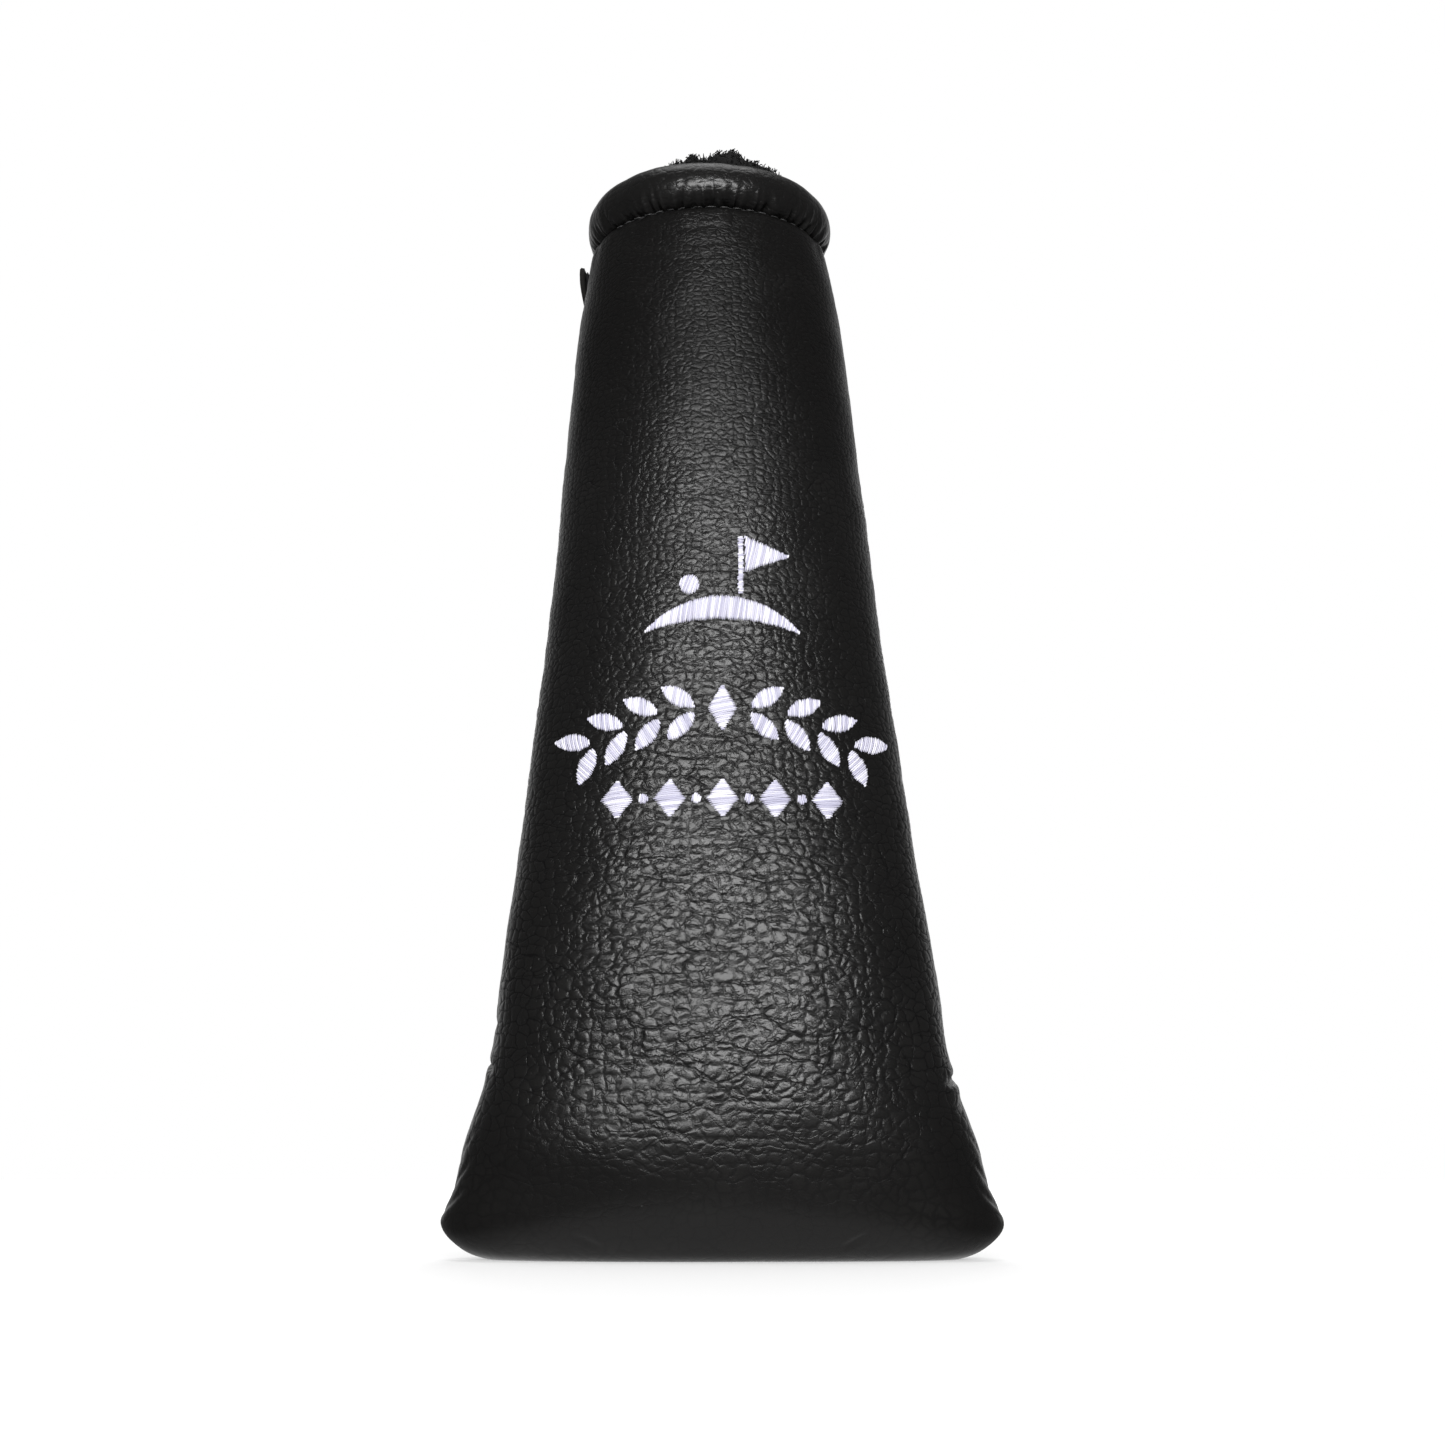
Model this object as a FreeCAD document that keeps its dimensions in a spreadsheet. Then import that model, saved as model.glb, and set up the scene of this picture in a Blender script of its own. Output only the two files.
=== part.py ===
import FreeCAD, Part
import math
import os

import Sketcher
from FreeCAD import Placement, Rotation, Vector

# Putter head cover, standing on its sole with the mouth up.
# Millimetres. +Z is up, -Y is the embroidered front, -X is the side that the flap closes on.
# The origin is the middle of the sole, at floor level.
#
# The wall has three layers, leather, padding and fleece, each cut as a front piece and
# two back pieces. Every layer lies between two nested envelopes: lofts through the same
# oval sections, drawn in from the outer surface by the depth of the layer.

NODE_FOLDER = "parts"

# Distances that only have to pass beyond the cover, for the blocks that cut it.
BEYOND_SIDE = "90"
BEYOND_FRONT = "60"
BEYOND_BOTTOM = "-5"
BEYOND_TOP = "265"
BELOW_FLAP = "190"
BESIDE_MIDDLE = "4"  # a little to the left of the back's middle line

# One oval section of the outer surface: name, height, half width and half depth.
SECTIONS = [
    ("sole", 0.0, 53.0, 15.5),
    ("welt", 1.1, 57.6, 17.8),
    ("edge", 3.3, 61.5, 19.8),
    ("ear", 8.0, 65.0, 22.5),
    ("toe", 13.5, 62.8, 24.4),
    ("instep", 25.0, 59.6, 26.6),
    ("ankle", 36.0, 56.4, 27.4),
    ("notch", 47.0, 53.6, 27.6),
    ("shank", 60.0, 52.2, 27.3),
    ("skirt", 83.0, 49.0, 26.6),
    ("belly", 120.0, 44.3, 26.2),
    ("waist", 158.0, 40.2, 26.9),
    ("chest", 197.0, 36.6, 28.2),
    ("throat", 224.0, 33.8, 28.9),
    ("nape", 240.0, 31.5, 29.1),
    ("rim", 250.2, 29.3, 28.7),
    ("overrun", 258.0, 28.9, 28.4),
]

# Every other driving dimension, by alias.
SIZES = {
    "lean": 3.5,  # how far the rim stands to the left of the sole
    "leather": 1.3,
    "padding": 1.7,
    "fleece": 2.75,
    "layer_gap": 0.3,
    "seam_gap": 0.8,
    "thread_width": 0.5,
    "thread_sink": 0.25,
    "thread_depth": 0.6,
    "stitch_rise": 0.35,
    "side_seam_bottom": 2.0,
    "side_seam_inner": 20.0,
    "side_seam_top_gap": 0.3,
    "back_seam_bottom": 6.0,
    "back_seam_top_gap": 3.5,
    "slit_gap": 1.6,
    "slit_bottom": 150.0,
    "bottom_seam_half": 50.0,
    "mouth_radius": 22.5,
    "throat_ease": 0.4,
    "mouth_ease": 1.5,
    "roll_radius": 27.0,
    "roll_half_width": 4.2,
    "roll_half_height": 5.6,
    "roll_middle": 256.0,
    "roll_slit_angle": 6.0,
    "core_slit_angle": 12.0,
    "core_slit_ease": 0.4,
    "collar_groove_top": 251.0,
    "collar_groove_bottom": 249.8,
    "collar_groove_depth": 0.9,
    "collar_groove_rise": 0.1,
    "collar_thread_slit": 1.5,
    "embroidery_rise": 0.45,
    "emblem_foot": 143.0,
    "emblem_top": 166.0,
    "emblem_half_width": 18.5,
    "stick_width": 1.1,
    "stick_foot_gap": 0.8,
    "pennant_gap": 0.5,
    "ball_radius": 2.3,
    "ball_gap": 0.6,
    "arch_crown": 124.5,
    "arch_radius": 62.0,
    "arch_half_angle": 37.0,
    "arch_first_angle": 6.0,
    "arch_lozenge_half_width": 3.4,
    "arch_lozenge_half_height": 5.6,
    "leaf_length": 9.0,
    "leaf_width": 4.0,
    "leaf_turn": 38.0,
    "leaf_stalk_offset": 0.7,
    "row_middle": 103.3,
    "row_half_width": 28.0,
    "row_half_height": 4.6,
    "row_lozenge_half_width": 3.7,
    "row_dot_radius": 1.1,
    "backing_patch": 0.4,
    "patch_margin": 5.0,
    "patch_side_margin": 2.0,
    "hinge_offset": 7.0,
    "hinge_gap": 0.3,
    "flap_base_width": 10.0,
    "flap_top": 247.4,
    "flap_bottom": 207.0,
    "flap_tip_top": 1.5,
    "flap_tip_middle": 12.0,
    "flap_middle": 238.0,
    "flap_tip_bottom": 15.0,
    "flap_corner": 6.0,
    "point_share": 2.6,
    "sweep_share": 1.3,
    "loop_tape": 0.6,
    "tape_gap": 0.3,
    "hook_tape": 0.6,
    "flap_backing": 0.6,
    "tape_top": 241.5,
    "tape_bottom": 213.0,
    "tape_front": 18.5,
    "tape_back": 26.0,
    "tape_margin": 1.8,
    "loop_margin": 2.4,
    "loop_stitch_margin": 0.8,
    "loop_stitch_rise": 0.15,
    "stitch_band": 0.7,
    "edge_inset": 2.2,
    "base_inset": 1.6,
    "slit_stitch_start": 4.0,
    "bartack_height": 5.0,
    "bartack_half_width": 4.0,
}

ARCH_LEAF_PAIRS = 4
ROW_LOZENGES = 5

doc = FreeCAD.newDocument("putter_head_cover")
sheet = doc.addObject("Spreadsheet::Sheet", "sizes")


def fill_sheet():
    """Write each driving dimension into a row of its own, as a number with an alias."""
    rows = dict(SIZES)
    for name, height, half_width, half_depth in SECTIONS:
        rows[name + "_height"] = height
        rows[name + "_half_width"] = half_width
        rows[name + "_half_depth"] = half_depth
    for number, (alias, value) in enumerate(rows.items(), start=1):
        sheet.set("A%d" % number, alias)
        sheet.set("B%d" % number, str(value))
        sheet.setAlias("B%d" % number, alias)
    doc.recompute()


def cell(alias):
    """The name of a sheet cell inside an expression."""
    return "<<sizes>>." + alias


def size(alias):
    """The value of a sheet cell."""
    return float(sheet.get(alias))


# ---------------------------------------------------------------- envelopes

LEATHER_IN = cell("leather")
PADDING_OUT = "(%s + %s)" % (cell("leather"), cell("layer_gap"))
PADDING_IN = "(%s + %s)" % (PADDING_OUT, cell("padding"))
FLEECE_OUT = "(%s + %s)" % (PADDING_IN, cell("layer_gap"))
FLEECE_IN = "(%s + %s)" % (FLEECE_OUT, cell("fleece"))
LOOP_OUT = "(-%s)" % cell("loop_tape")
HOOK_IN = "(%s - %s)" % (LOOP_OUT, cell("tape_gap"))
HOOK_OUT = "(%s - %s)" % (HOOK_IN, cell("hook_tape"))
FLAP_LINING_OUT = "(%s - %s)" % (HOOK_OUT, cell("flap_backing"))
FLAP_OUT = "(%s - %s)" % (FLAP_LINING_OUT, cell("leather"))


def oval(name, height, half_width, half_depth):
    """A level oval section, moved sideways by the lean at its height."""
    section = doc.addObject("Part::Ellipse", name)
    section.setExpression("MajorRadius", half_width)
    section.setExpression("MinorRadius", half_depth)
    section.setExpression("Placement.Base.z", height)
    section.setExpression(
        "Placement.Base.x", "-%s * (%s) / %s" % (cell("lean"), height, cell("rim_height"))
    )
    return section


def loft(name, sections):
    """A closed solid through level sections."""
    solid = doc.addObject("Part::Loft", name)
    solid.Sections = sections
    solid.Solid = True
    solid.Ruled = False
    return solid


def drawn_in(section_name, inset):
    """Height, half width and half depth of a section drawn in by an inset.

    The height moves with the inset at the sole and not at all at the rim, so that
    each layer also covers the bottom."""
    height = cell(section_name + "_height")
    raised = "%s + %s * (1 - %s / %s)" % (height, inset, height, cell("rim_height"))
    if section_name == "overrun":
        # The deeper an envelope lies, the higher it ends, so that it cuts right through the top.
        raised = "%s + 4 * %s" % (height, inset)
    half_width = "%s - %s" % (cell(section_name + "_half_width"), inset)
    half_depth = "%s - %s" % (cell(section_name + "_half_depth"), inset)
    return raised, half_width, half_depth


def envelope(name, inset):
    """The outer surface of the cover, drawn in all over by an inset."""
    sections = []
    for section_name, *_ in SECTIONS:
        sections.append(oval(name + "_" + section_name, *drawn_in(section_name, inset)))
    return loft(name, sections)


def fleece_envelope(name, inset, mouth_radius, overrun):
    """An envelope of the lining, which narrows to pass up inside the collar roll."""
    sections = []
    for section_name, *_ in SECTIONS[:-4]:
        sections.append(oval(name + "_" + section_name, *drawn_in(section_name, inset)))
    for section_name, ease in (("throat", cell("throat_ease")), ("nape", cell("mouth_ease"))):
        height, half_width, half_depth = drawn_in(section_name, inset)
        sections.append(
            oval(name + "_" + section_name, height, half_width + " - " + ease, half_depth + " - " + ease)
        )
    wider = mouth_radius + " + 0.1"
    sections.append(oval(name + "_rim", cell("rim_height"), wider, mouth_radius))
    roll_top = "%s + %s" % (cell("roll_middle"), cell("roll_half_height"))
    sections.append(oval(name + "_mouth", "%s + %s" % (roll_top, overrun), wider, mouth_radius))
    return loft(name, sections)


# ---------------------------------------------------------------- booleans and blocks


def cut(name, base, tool):
    result = doc.addObject("Part::Cut", name)
    result.Base = base
    result.Tool = tool
    return result


def common(name, *shapes):
    result = doc.addObject("Part::MultiCommon", name)
    result.Shapes = list(shapes)
    return result


def fuse(name, *shapes):
    result = doc.addObject("Part::MultiFuse", name)
    result.Shapes = list(shapes)
    return result


def shell_piece(name, outer, inner, *blocks):
    """The part of the space between two nested envelopes that lies inside every block."""
    return cut(name, common(name + "_outside", outer, *blocks), inner)


def block(name, low, high):
    """A box between two corners, each given as three expressions."""
    box = doc.addObject("Part::Box", name)
    for side, axis, start, end in zip(("Length", "Width", "Height"), "xyz", low, high):
        box.setExpression(side, "(%s) - (%s)" % (end, start))
        box.setExpression("Placement.Base." + axis, start)
    return box


def new_sketch(name, plane_role):
    """A PartDesign body with an empty sketch on one of its origin planes."""
    body = doc.addObject("PartDesign::Body", name)
    sketch = body.newObject("Sketcher::SketchObject", name + "_outline")
    plane = next(f for f in body.Origin.OriginFeatures if f.Role == plane_role)
    sketch.AttachmentSupport = [(plane, "")]
    sketch.MapMode = "FlatFace"
    return body, sketch


def pad(body, sketch, start, depth, away):
    """Pad a sketch by depth, from start along its plane's normal, or the other way."""
    feature = body.newObject("PartDesign::Pad", body.Name + "_pad")
    feature.Profile = sketch
    feature.setExpression("Length", depth)
    feature.Reversed = away
    sign = "-" if away else ""
    sketch.setExpression("AttachmentOffset.Base.z", sign + "(" + start + ")")
    body.Tip = feature
    return body


def add_polygon(sketch, corners):
    """Add a closed polygon whose corners are pairs of expressions, each one constrained."""
    points = [Vector(value_of(first), value_of(second), 0) for first, second in corners]
    first_edge = sketch.GeometryCount
    count = len(points)
    for index in range(count):
        edge = Part.LineSegment(points[index], points[(index + 1) % count])
        sketch.addGeometry(edge, False)
    for index in range(count):
        following = first_edge + (index + 1) % count
        sketch.addConstraint(Sketcher.Constraint("Coincident", first_edge + index, 2, following, 1))
    for index, (first, second) in enumerate(corners):
        edge = first_edge + index
        for kind, expression, value in (
            ("DistanceX", first, points[index].x),
            ("DistanceY", second, points[index].y),
        ):
            number = sketch.addConstraint(Sketcher.Constraint(kind, -1, 1, edge, 1, value))
            sketch.setExpression("Constraints[%d]" % number, expression)


def value_of(expression):
    """The present value of an expression."""
    return float(sheet.evalExpression(expression))


def prism(name, plane_role, outlines, depth, start="0", away=False):
    """A straight block with one or more polygonal outlines."""
    body, sketch = new_sketch(name, plane_role)
    for corners in outlines:
        add_polygon(sketch, corners)
    return pad(body, sketch, start, depth, away)


def leaning(offset, height):
    """An x that keeps its offset from the leaning middle line at a height."""
    return "(%s) - %s * (%s) / %s" % (offset, cell("lean"), height, cell("rim_height"))


def slanted_block(name, left, right, bottom, top):
    """A block through the back whose two sides follow the leaning middle line."""
    corners = [
        (leaning(left, bottom), bottom),
        (leaning(right, bottom), bottom),
        (leaning(right, top), top),
        (leaning(left, top), top),
    ]
    return prism(name, "XZ_Plane", [corners], BEYOND_SIDE, away=True)


# ---------------------------------------------------------------- the wall


def halves():
    """The blocks that divide every layer: front, back left and back right."""
    half_seam = "(%s / 2)" % cell("seam_gap")
    half_slit = "(%s / 2)" % cell("slit_gap")
    slit = cell("slit_bottom")
    blocks = {}
    for suffix, top in (("", cell("rim_height")), ("_tall", roll_top())):
        low = ("-" + BEYOND_SIDE, "-" + BEYOND_SIDE, BEYOND_BOTTOM)
        blocks["front" + suffix] = block(
            "front_half" + suffix, low, (BEYOND_SIDE, "-" + half_seam, top)
        )
        for side, sign in (("left", "-"), ("right", "")):
            seam_edge = sign + half_seam
            slit_edge = sign + half_slit
            outer = sign + BEYOND_SIDE
            corners = [
                (leaning(seam_edge, BEYOND_BOTTOM), BEYOND_BOTTOM),
                (leaning(outer, BEYOND_BOTTOM), BEYOND_BOTTOM),
                (leaning(outer, top), top),
                (leaning(slit_edge, top), top),
                (leaning(slit_edge, slit), slit),
                (leaning(seam_edge, slit), slit),
            ]
            name = "back_%s_half%s" % (side, suffix)
            blocks[side + suffix] = prism(
                name, "XZ_Plane", [corners], BEYOND_SIDE, start=half_seam, away=True
            )
    return blocks


def roll_top():
    return "(%s + %s)" % (cell("roll_middle"), cell("roll_half_height"))


def build_wall(nodes, blocks):
    """The leather panels, the padding and the fleece lining, each in three pieces."""
    leather = (skins["outer"], skins["leather_in"])
    padding = (skins["padding_out"], skins["padding_in"])
    fleece = (skins["fleece_out"], skins["fleece_in"])
    patch = (skins["padding_out"], skins["patch_in"])
    nodes["front_panel"] = shell_piece("front_panel", *leather, blocks["front"])
    nodes["embroidery_backing"] = shell_piece("embroidery_backing", *patch, patch_block())
    whole_padding = shell_piece("front_padding_whole", *padding, blocks["front"])
    nodes["front_padding"] = cut("front_padding", whole_padding, nodes["embroidery_backing"])
    nodes["front_lining"] = shell_piece("front_lining", *fleece, blocks["front_tall"])
    for side in ("left", "right"):
        for part, pair, suffix in (
            ("panel", leather, ""),
            ("padding", padding, ""),
            ("lining", fleece, "_tall"),
        ):
            name = "back_%s_%s" % (part, side)
            nodes[name] = shell_piece(name, *pair, blocks[side + suffix])


def patch_block():
    """The stabiliser's outline, a margin larger than the whole of the embroidery."""
    margin = cell("patch_margin")
    low = "(%s - %s - %s)" % (cell("row_middle"), cell("row_half_height"), margin)
    high = "(%s + %s)" % (cell("emblem_top"), margin)
    arch_half = "%s * sin(%s * 1 deg)" % (cell("arch_radius"), cell("arch_half_angle"))
    half = "(%s + %s)" % (arch_half, cell("patch_side_margin"))
    corners = [("-" + half, low), (half, low), (half, high), ("-" + half, high)]
    return prism("patch_block", "XZ_Plane", [corners], BEYOND_SIDE, start=BESIDE_MIDDLE)


# ---------------------------------------------------------------- the collar


def roll(name, inset, slit_angle):
    """A rolled ring of oval section round the mouth, open over an angle at the back."""
    profile = doc.addObject("Part::Ellipse", name + "_profile")
    profile.setExpression("MajorRadius", "%s - %s" % (cell("roll_half_height"), inset))
    profile.setExpression("MinorRadius", "%s - %s" % (cell("roll_half_width"), inset))
    # The long axis of the oval stands upright, in the plane through the ring's axis.
    profile.Placement = Placement(Vector(0, 0, 0), Rotation(Vector(0, 1, 0), -90))
    profile.setExpression("Placement.Base.y", cell("roll_radius"))
    profile.setExpression("Placement.Base.z", cell("roll_middle"))
    ring = doc.addObject("Part::Revolution", name)
    ring.Source = profile
    ring.Axis = Vector(0, 0, 1)
    ring.Base = Vector(0, 0, 0)
    ring.Solid = True
    ring.setExpression("Angle", "360 - " + slit_angle)
    # The profile starts at the back, so half of the slit's angle turns the ends apart evenly.
    ring.Placement = Placement(Vector(0, 0, 0), Rotation(Vector(0, 0, 1), 0))
    ring.setExpression("Placement.Rotation.Angle", slit_angle + " / 2")
    ring.setExpression("Placement.Base.x", "-" + cell("lean"))
    return ring


def build_collar(nodes):
    """The padded leather roll and the foam cord inside it."""
    hollow = "(%s + %s)" % (cell("leather"), cell("layer_gap"))
    whole = roll("collar_whole", "0", cell("roll_slit_angle"))
    hole = roll("collar_hole", cell("leather"), cell("core_slit_angle"))
    core_slit = "(%s + %s)" % (cell("core_slit_angle"), cell("core_slit_ease"))
    nodes["collar_cover"] = cut("collar_cover", whole, hole)
    nodes["collar_core"] = roll("collar_core", hollow, core_slit)
    groove_in = envelope("groove_in", cell("collar_groove_depth"))
    groove_out = envelope("groove_out", "(-%s)" % cell("collar_groove_rise"))
    band = block(
        "collar_seam_band",
        ("-" + BEYOND_SIDE, "-" + BEYOND_SIDE, cell("collar_groove_bottom")),
        (BEYOND_SIDE, BEYOND_SIDE, cell("collar_groove_top")),
    )
    ring = shell_piece("collar_seam_ring", groove_out, groove_in, band)
    nodes["collar_seam_thread"] = cut("collar_seam_thread", ring, seam_clearance(nodes))


def seam_clearance(nodes):
    """What the collar's seam thread has to stay out of: the panels, the roll and the slit."""
    half = cell("collar_thread_slit")
    slit = slanted_block("collar_seam_slit", "-" + half, half, BELOW_FLAP, BEYOND_TOP)
    return fuse(
        "collar_seam_room",
        nodes["collar_cover"],
        nodes["front_panel"],
        nodes["back_panel_left"],
        nodes["back_panel_right"],
        slit,
    )


# ---------------------------------------------------------------- seams and stitches


def build_seams(nodes):
    """The thread that closes the side, bottom and back seams, sunk between the panels."""
    sink = envelope("seam_sink", cell("thread_sink"))
    floor = envelope("seam_floor", "(%s + %s)" % (cell("thread_sink"), cell("thread_depth")))
    half = "(%s / 2)" % cell("thread_width")
    sole = cell("thread_sink")
    sole_top = "(%s + %s)" % (sole, cell("thread_depth"))
    low = cell("side_seam_bottom")
    high = "(%s - %s)" % (cell("collar_groove_bottom"), cell("side_seam_top_gap"))
    inner = cell("side_seam_inner")
    sides = (("left", "-" + BEYOND_SIDE, "-" + inner), ("right", inner, BEYOND_SIDE))
    for side, start, end in sides:
        name = side + "_side_seam_thread"
        strip = block(name + "_strip", (start, "-" + half, low), (end, half, high))
        nodes[name] = shell_piece(name, sink, floor, strip)
    reach = cell("bottom_seam_half")
    nodes["bottom_seam_thread"] = block(
        "bottom_seam_thread", ("-" + reach, "-" + half, sole), (reach, half, sole_top)
    )
    back_low = cell("back_seam_bottom")
    back_high = "(%s - %s)" % (cell("slit_bottom"), cell("back_seam_top_gap"))
    back_strip = slanted_block("centre_back_seam_strip", "-" + half, half, back_low, back_high)
    nodes["centre_back_seam_thread"] = shell_piece("centre_back_seam_thread", sink, floor, back_strip)


def build_slit_stitching(nodes):
    """A row of stitches beside each edge of the slit, and the bar that ends it."""
    raised = (envelope("slit_thread_top", "-" + cell("stitch_rise")), skins["outer"])
    near = cell("edge_inset")
    far = "(%s + %s)" % (near, cell("stitch_band"))
    low = "(%s + %s)" % (cell("slit_bottom"), cell("slit_stitch_start"))
    high = cell("flap_top")
    left = slanted_block("slit_left_line", "-" + far, "-" + near, low, high)
    right = slanted_block("slit_right_line", near, far, low, high)
    lines = fuse("slit_lines", left, right)
    nodes["slit_edge_stitching"] = shell_piece("slit_edge_stitching", *raised, lines)
    half = cell("bartack_half_width")
    bottom = "%s - %s / 2" % (cell("slit_bottom"), cell("bartack_height"))
    top = "%s + %s / 2" % (cell("slit_bottom"), cell("bartack_height"))
    bar = slanted_block("bartack_bar", "-" + half, half, bottom, top)
    nodes["slit_bartack"] = shell_piece("slit_bartack", *raised, bar)


# ---------------------------------------------------------------- the embroidery


def add_arc(sketch, start, middle, end):
    sketch.addGeometry(Part.Arc(Vector(*start, 0), Vector(*middle, 0), Vector(*end, 0)), False)


def add_line(sketch, start, end):
    sketch.addGeometry(Part.LineSegment(Vector(*start, 0), Vector(*end, 0)), False)


def add_shape(sketch, corners):
    """A closed outline with straight sides."""
    for index, corner in enumerate(corners):
        add_line(sketch, corner, corners[(index + 1) % len(corners)])


def add_lozenge(sketch, centre, half_width, half_height):
    """A shape with four straight sides and a point at its left, foot, right and top."""
    x, z = centre
    left, right = (x - half_width, z), (x + half_width, z)
    foot, top = (x, z - half_height), (x, z + half_height)
    add_shape(sketch, [left, foot, right, top])


def add_leaf(sketch, stalk, length, width, angle):
    """A leaf of two arcs that meet in a point at the stalk and at the tip."""
    along = (math.cos(angle), math.sin(angle))
    across = (-along[1], along[0])
    tip = (stalk[0] + length * along[0], stalk[1] + length * along[1])
    for side in (1, -1):
        bulge = side * width / 2
        middle = (
            stalk[0] + length / 2 * along[0] + bulge * across[0],
            stalk[1] + length / 2 * along[1] + bulge * across[1],
        )
        add_arc(sketch, stalk, middle, tip)


def add_circle(sketch, centre, radius):
    sketch.addGeometry(Part.Circle(Vector(*centre, 0), Vector(0, 0, 1), radius), False)


def draw_emblem(sketch):
    """A flag on its stick over a low mound, with a ball beside it."""
    foot = size("emblem_foot")
    top = size("emblem_top")
    half = size("emblem_half_width")
    height = top - foot
    mound_top = foot + 0.36 * height
    mound_hollow = foot + 0.12 * height
    add_arc(sketch, (-half, foot), (-0.05 * half, mound_top), (half, foot))
    add_arc(sketch, (-half, foot), (0.0, mound_hollow), (half, foot))
    left = 0.2 * half
    right = left + size("stick_width")
    stick_foot = mound_top + size("stick_foot_gap")
    add_shape(sketch, [(left, stick_foot), (right, stick_foot), (right, top), (left, top)])
    hoist = right + size("pennant_gap")
    fly = hoist + 0.58 * half
    pennant_foot = foot + 0.62 * height
    pennant_middle = (pennant_foot + top) / 2
    add_shape(sketch, [(hoist, pennant_foot), (fly, pennant_middle), (hoist, top)])
    ball_radius = size("ball_radius")
    ball_middle = mound_top + ball_radius + size("ball_gap")
    add_circle(sketch, (-0.42 * half, ball_middle), ball_radius)


def draw_arch(sketch):
    """A spray of leaves in pairs along an arch, both ways from a lozenge at its crown."""
    crown = size("arch_crown")
    radius = size("arch_radius")
    first = math.radians(size("arch_first_angle"))
    step = (math.radians(size("arch_half_angle")) - first) / ARCH_LEAF_PAIRS
    leaf_turn = math.radians(size("leaf_turn"))
    length = size("leaf_length")
    width = size("leaf_width")
    lozenge = (size("arch_lozenge_half_width"), size("arch_lozenge_half_height"))
    add_lozenge(sketch, (0.0, crown), *lozenge)
    for side in (1, -1):
        for number in range(ARCH_LEAF_PAIRS):
            turn = first + step * number
            for lift in (1, -1):
                reach = radius + lift * size("leaf_stalk_offset")
                x = side * reach * math.sin(turn)
                z = crown - radius + reach * math.cos(turn)
                heading = -turn + lift * leaf_turn
                if side < 0:
                    heading = math.pi - heading
                add_leaf(sketch, (x, z), length, width, heading)


def draw_row(sketch):
    """A straight row of lozenges with a dot between each two."""
    middle = size("row_middle")
    half_height = size("row_half_height")
    half_width = size("row_lozenge_half_width")
    pitch = 2 * (size("row_half_width") - half_width) / (ROW_LOZENGES - 1)
    for number in range(ROW_LOZENGES):
        x = (number - (ROW_LOZENGES - 1) / 2) * pitch
        add_lozenge(sketch, (x, middle), half_width, half_height)
        if number < ROW_LOZENGES - 1:
            add_circle(sketch, (x + pitch / 2, middle), size("row_dot_radius"))


def build_embroidery(nodes):
    """Three groups of satin stitching that stand on the front panel."""
    raised = (envelope("embroidery_top", "-" + cell("embroidery_rise")), skins["outer"])
    groups = {
        "emblem_embroidery": draw_emblem,
        "arch_embroidery": draw_arch,
        "row_embroidery": draw_row,
    }
    for name, draw in groups.items():
        body, sketch = new_sketch(name + "_block", "XZ_Plane")
        draw(sketch)
        for index in range(sketch.GeometryCount):
            sketch.addConstraint(Sketcher.Constraint("Block", index))
        pad(body, sketch, "0", BEYOND_FRONT, False)
        nodes[name] = shell_piece(name, *raised, body)


# ---------------------------------------------------------------- the closure


def flap_outline(margin):
    """The flap seen from its own side, y against z, drawn in by a margin.

    The free edge sweeps back below its pointed top corner, so a margin moves that corner
    back by more than the others."""
    top = "(%s - %s)" % (cell("flap_top"), margin)
    bottom = "(%s + %s)" % (cell("flap_bottom"), margin)
    tip_top = "(%s + %s * %s)" % (cell("flap_tip_top"), cell("point_share"), margin)
    tip_middle = "(%s + %s * %s)" % (cell("flap_tip_middle"), cell("sweep_share"), margin)
    tip_bottom = "(%s + %s)" % (cell("flap_tip_bottom"), margin)
    corner = cell("flap_corner")
    far = "(%s - %s)" % (BEYOND_FRONT, margin)
    return [
        (far, bottom),
        (far, top),
        (tip_top, top),
        (tip_middle, cell("flap_middle")),
        (tip_bottom, bottom + " + " + corner),
        (tip_bottom + " + " + corner, bottom),
    ]


def tape_outline(margin):
    """The hook tape seen from the side, grown by a margin."""
    front = "(%s - %s)" % (cell("tape_front"), margin)
    back = "(%s + %s)" % (cell("tape_back"), margin)
    bottom = "(%s - %s)" % (cell("tape_bottom"), margin)
    top = "(%s + %s)" % (cell("tape_top"), margin)
    return [(front, bottom), (back, bottom), (back, top), (front, top)]


def stitch_ring(name, outline, margin, start, grows):
    """A block whose outline is a band one stitch wide, a margin from an outline's edge."""
    inner = "(%s + %s)" % (margin, cell("stitch_band"))
    outer_margin, inner_margin = (inner, margin) if grows else (margin, inner)
    return prism(
        name,
        "YZ_Plane",
        [outline(outer_margin), outline(inner_margin)],
        BEYOND_SIDE,
        start=start,
        away=True,
    )


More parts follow.
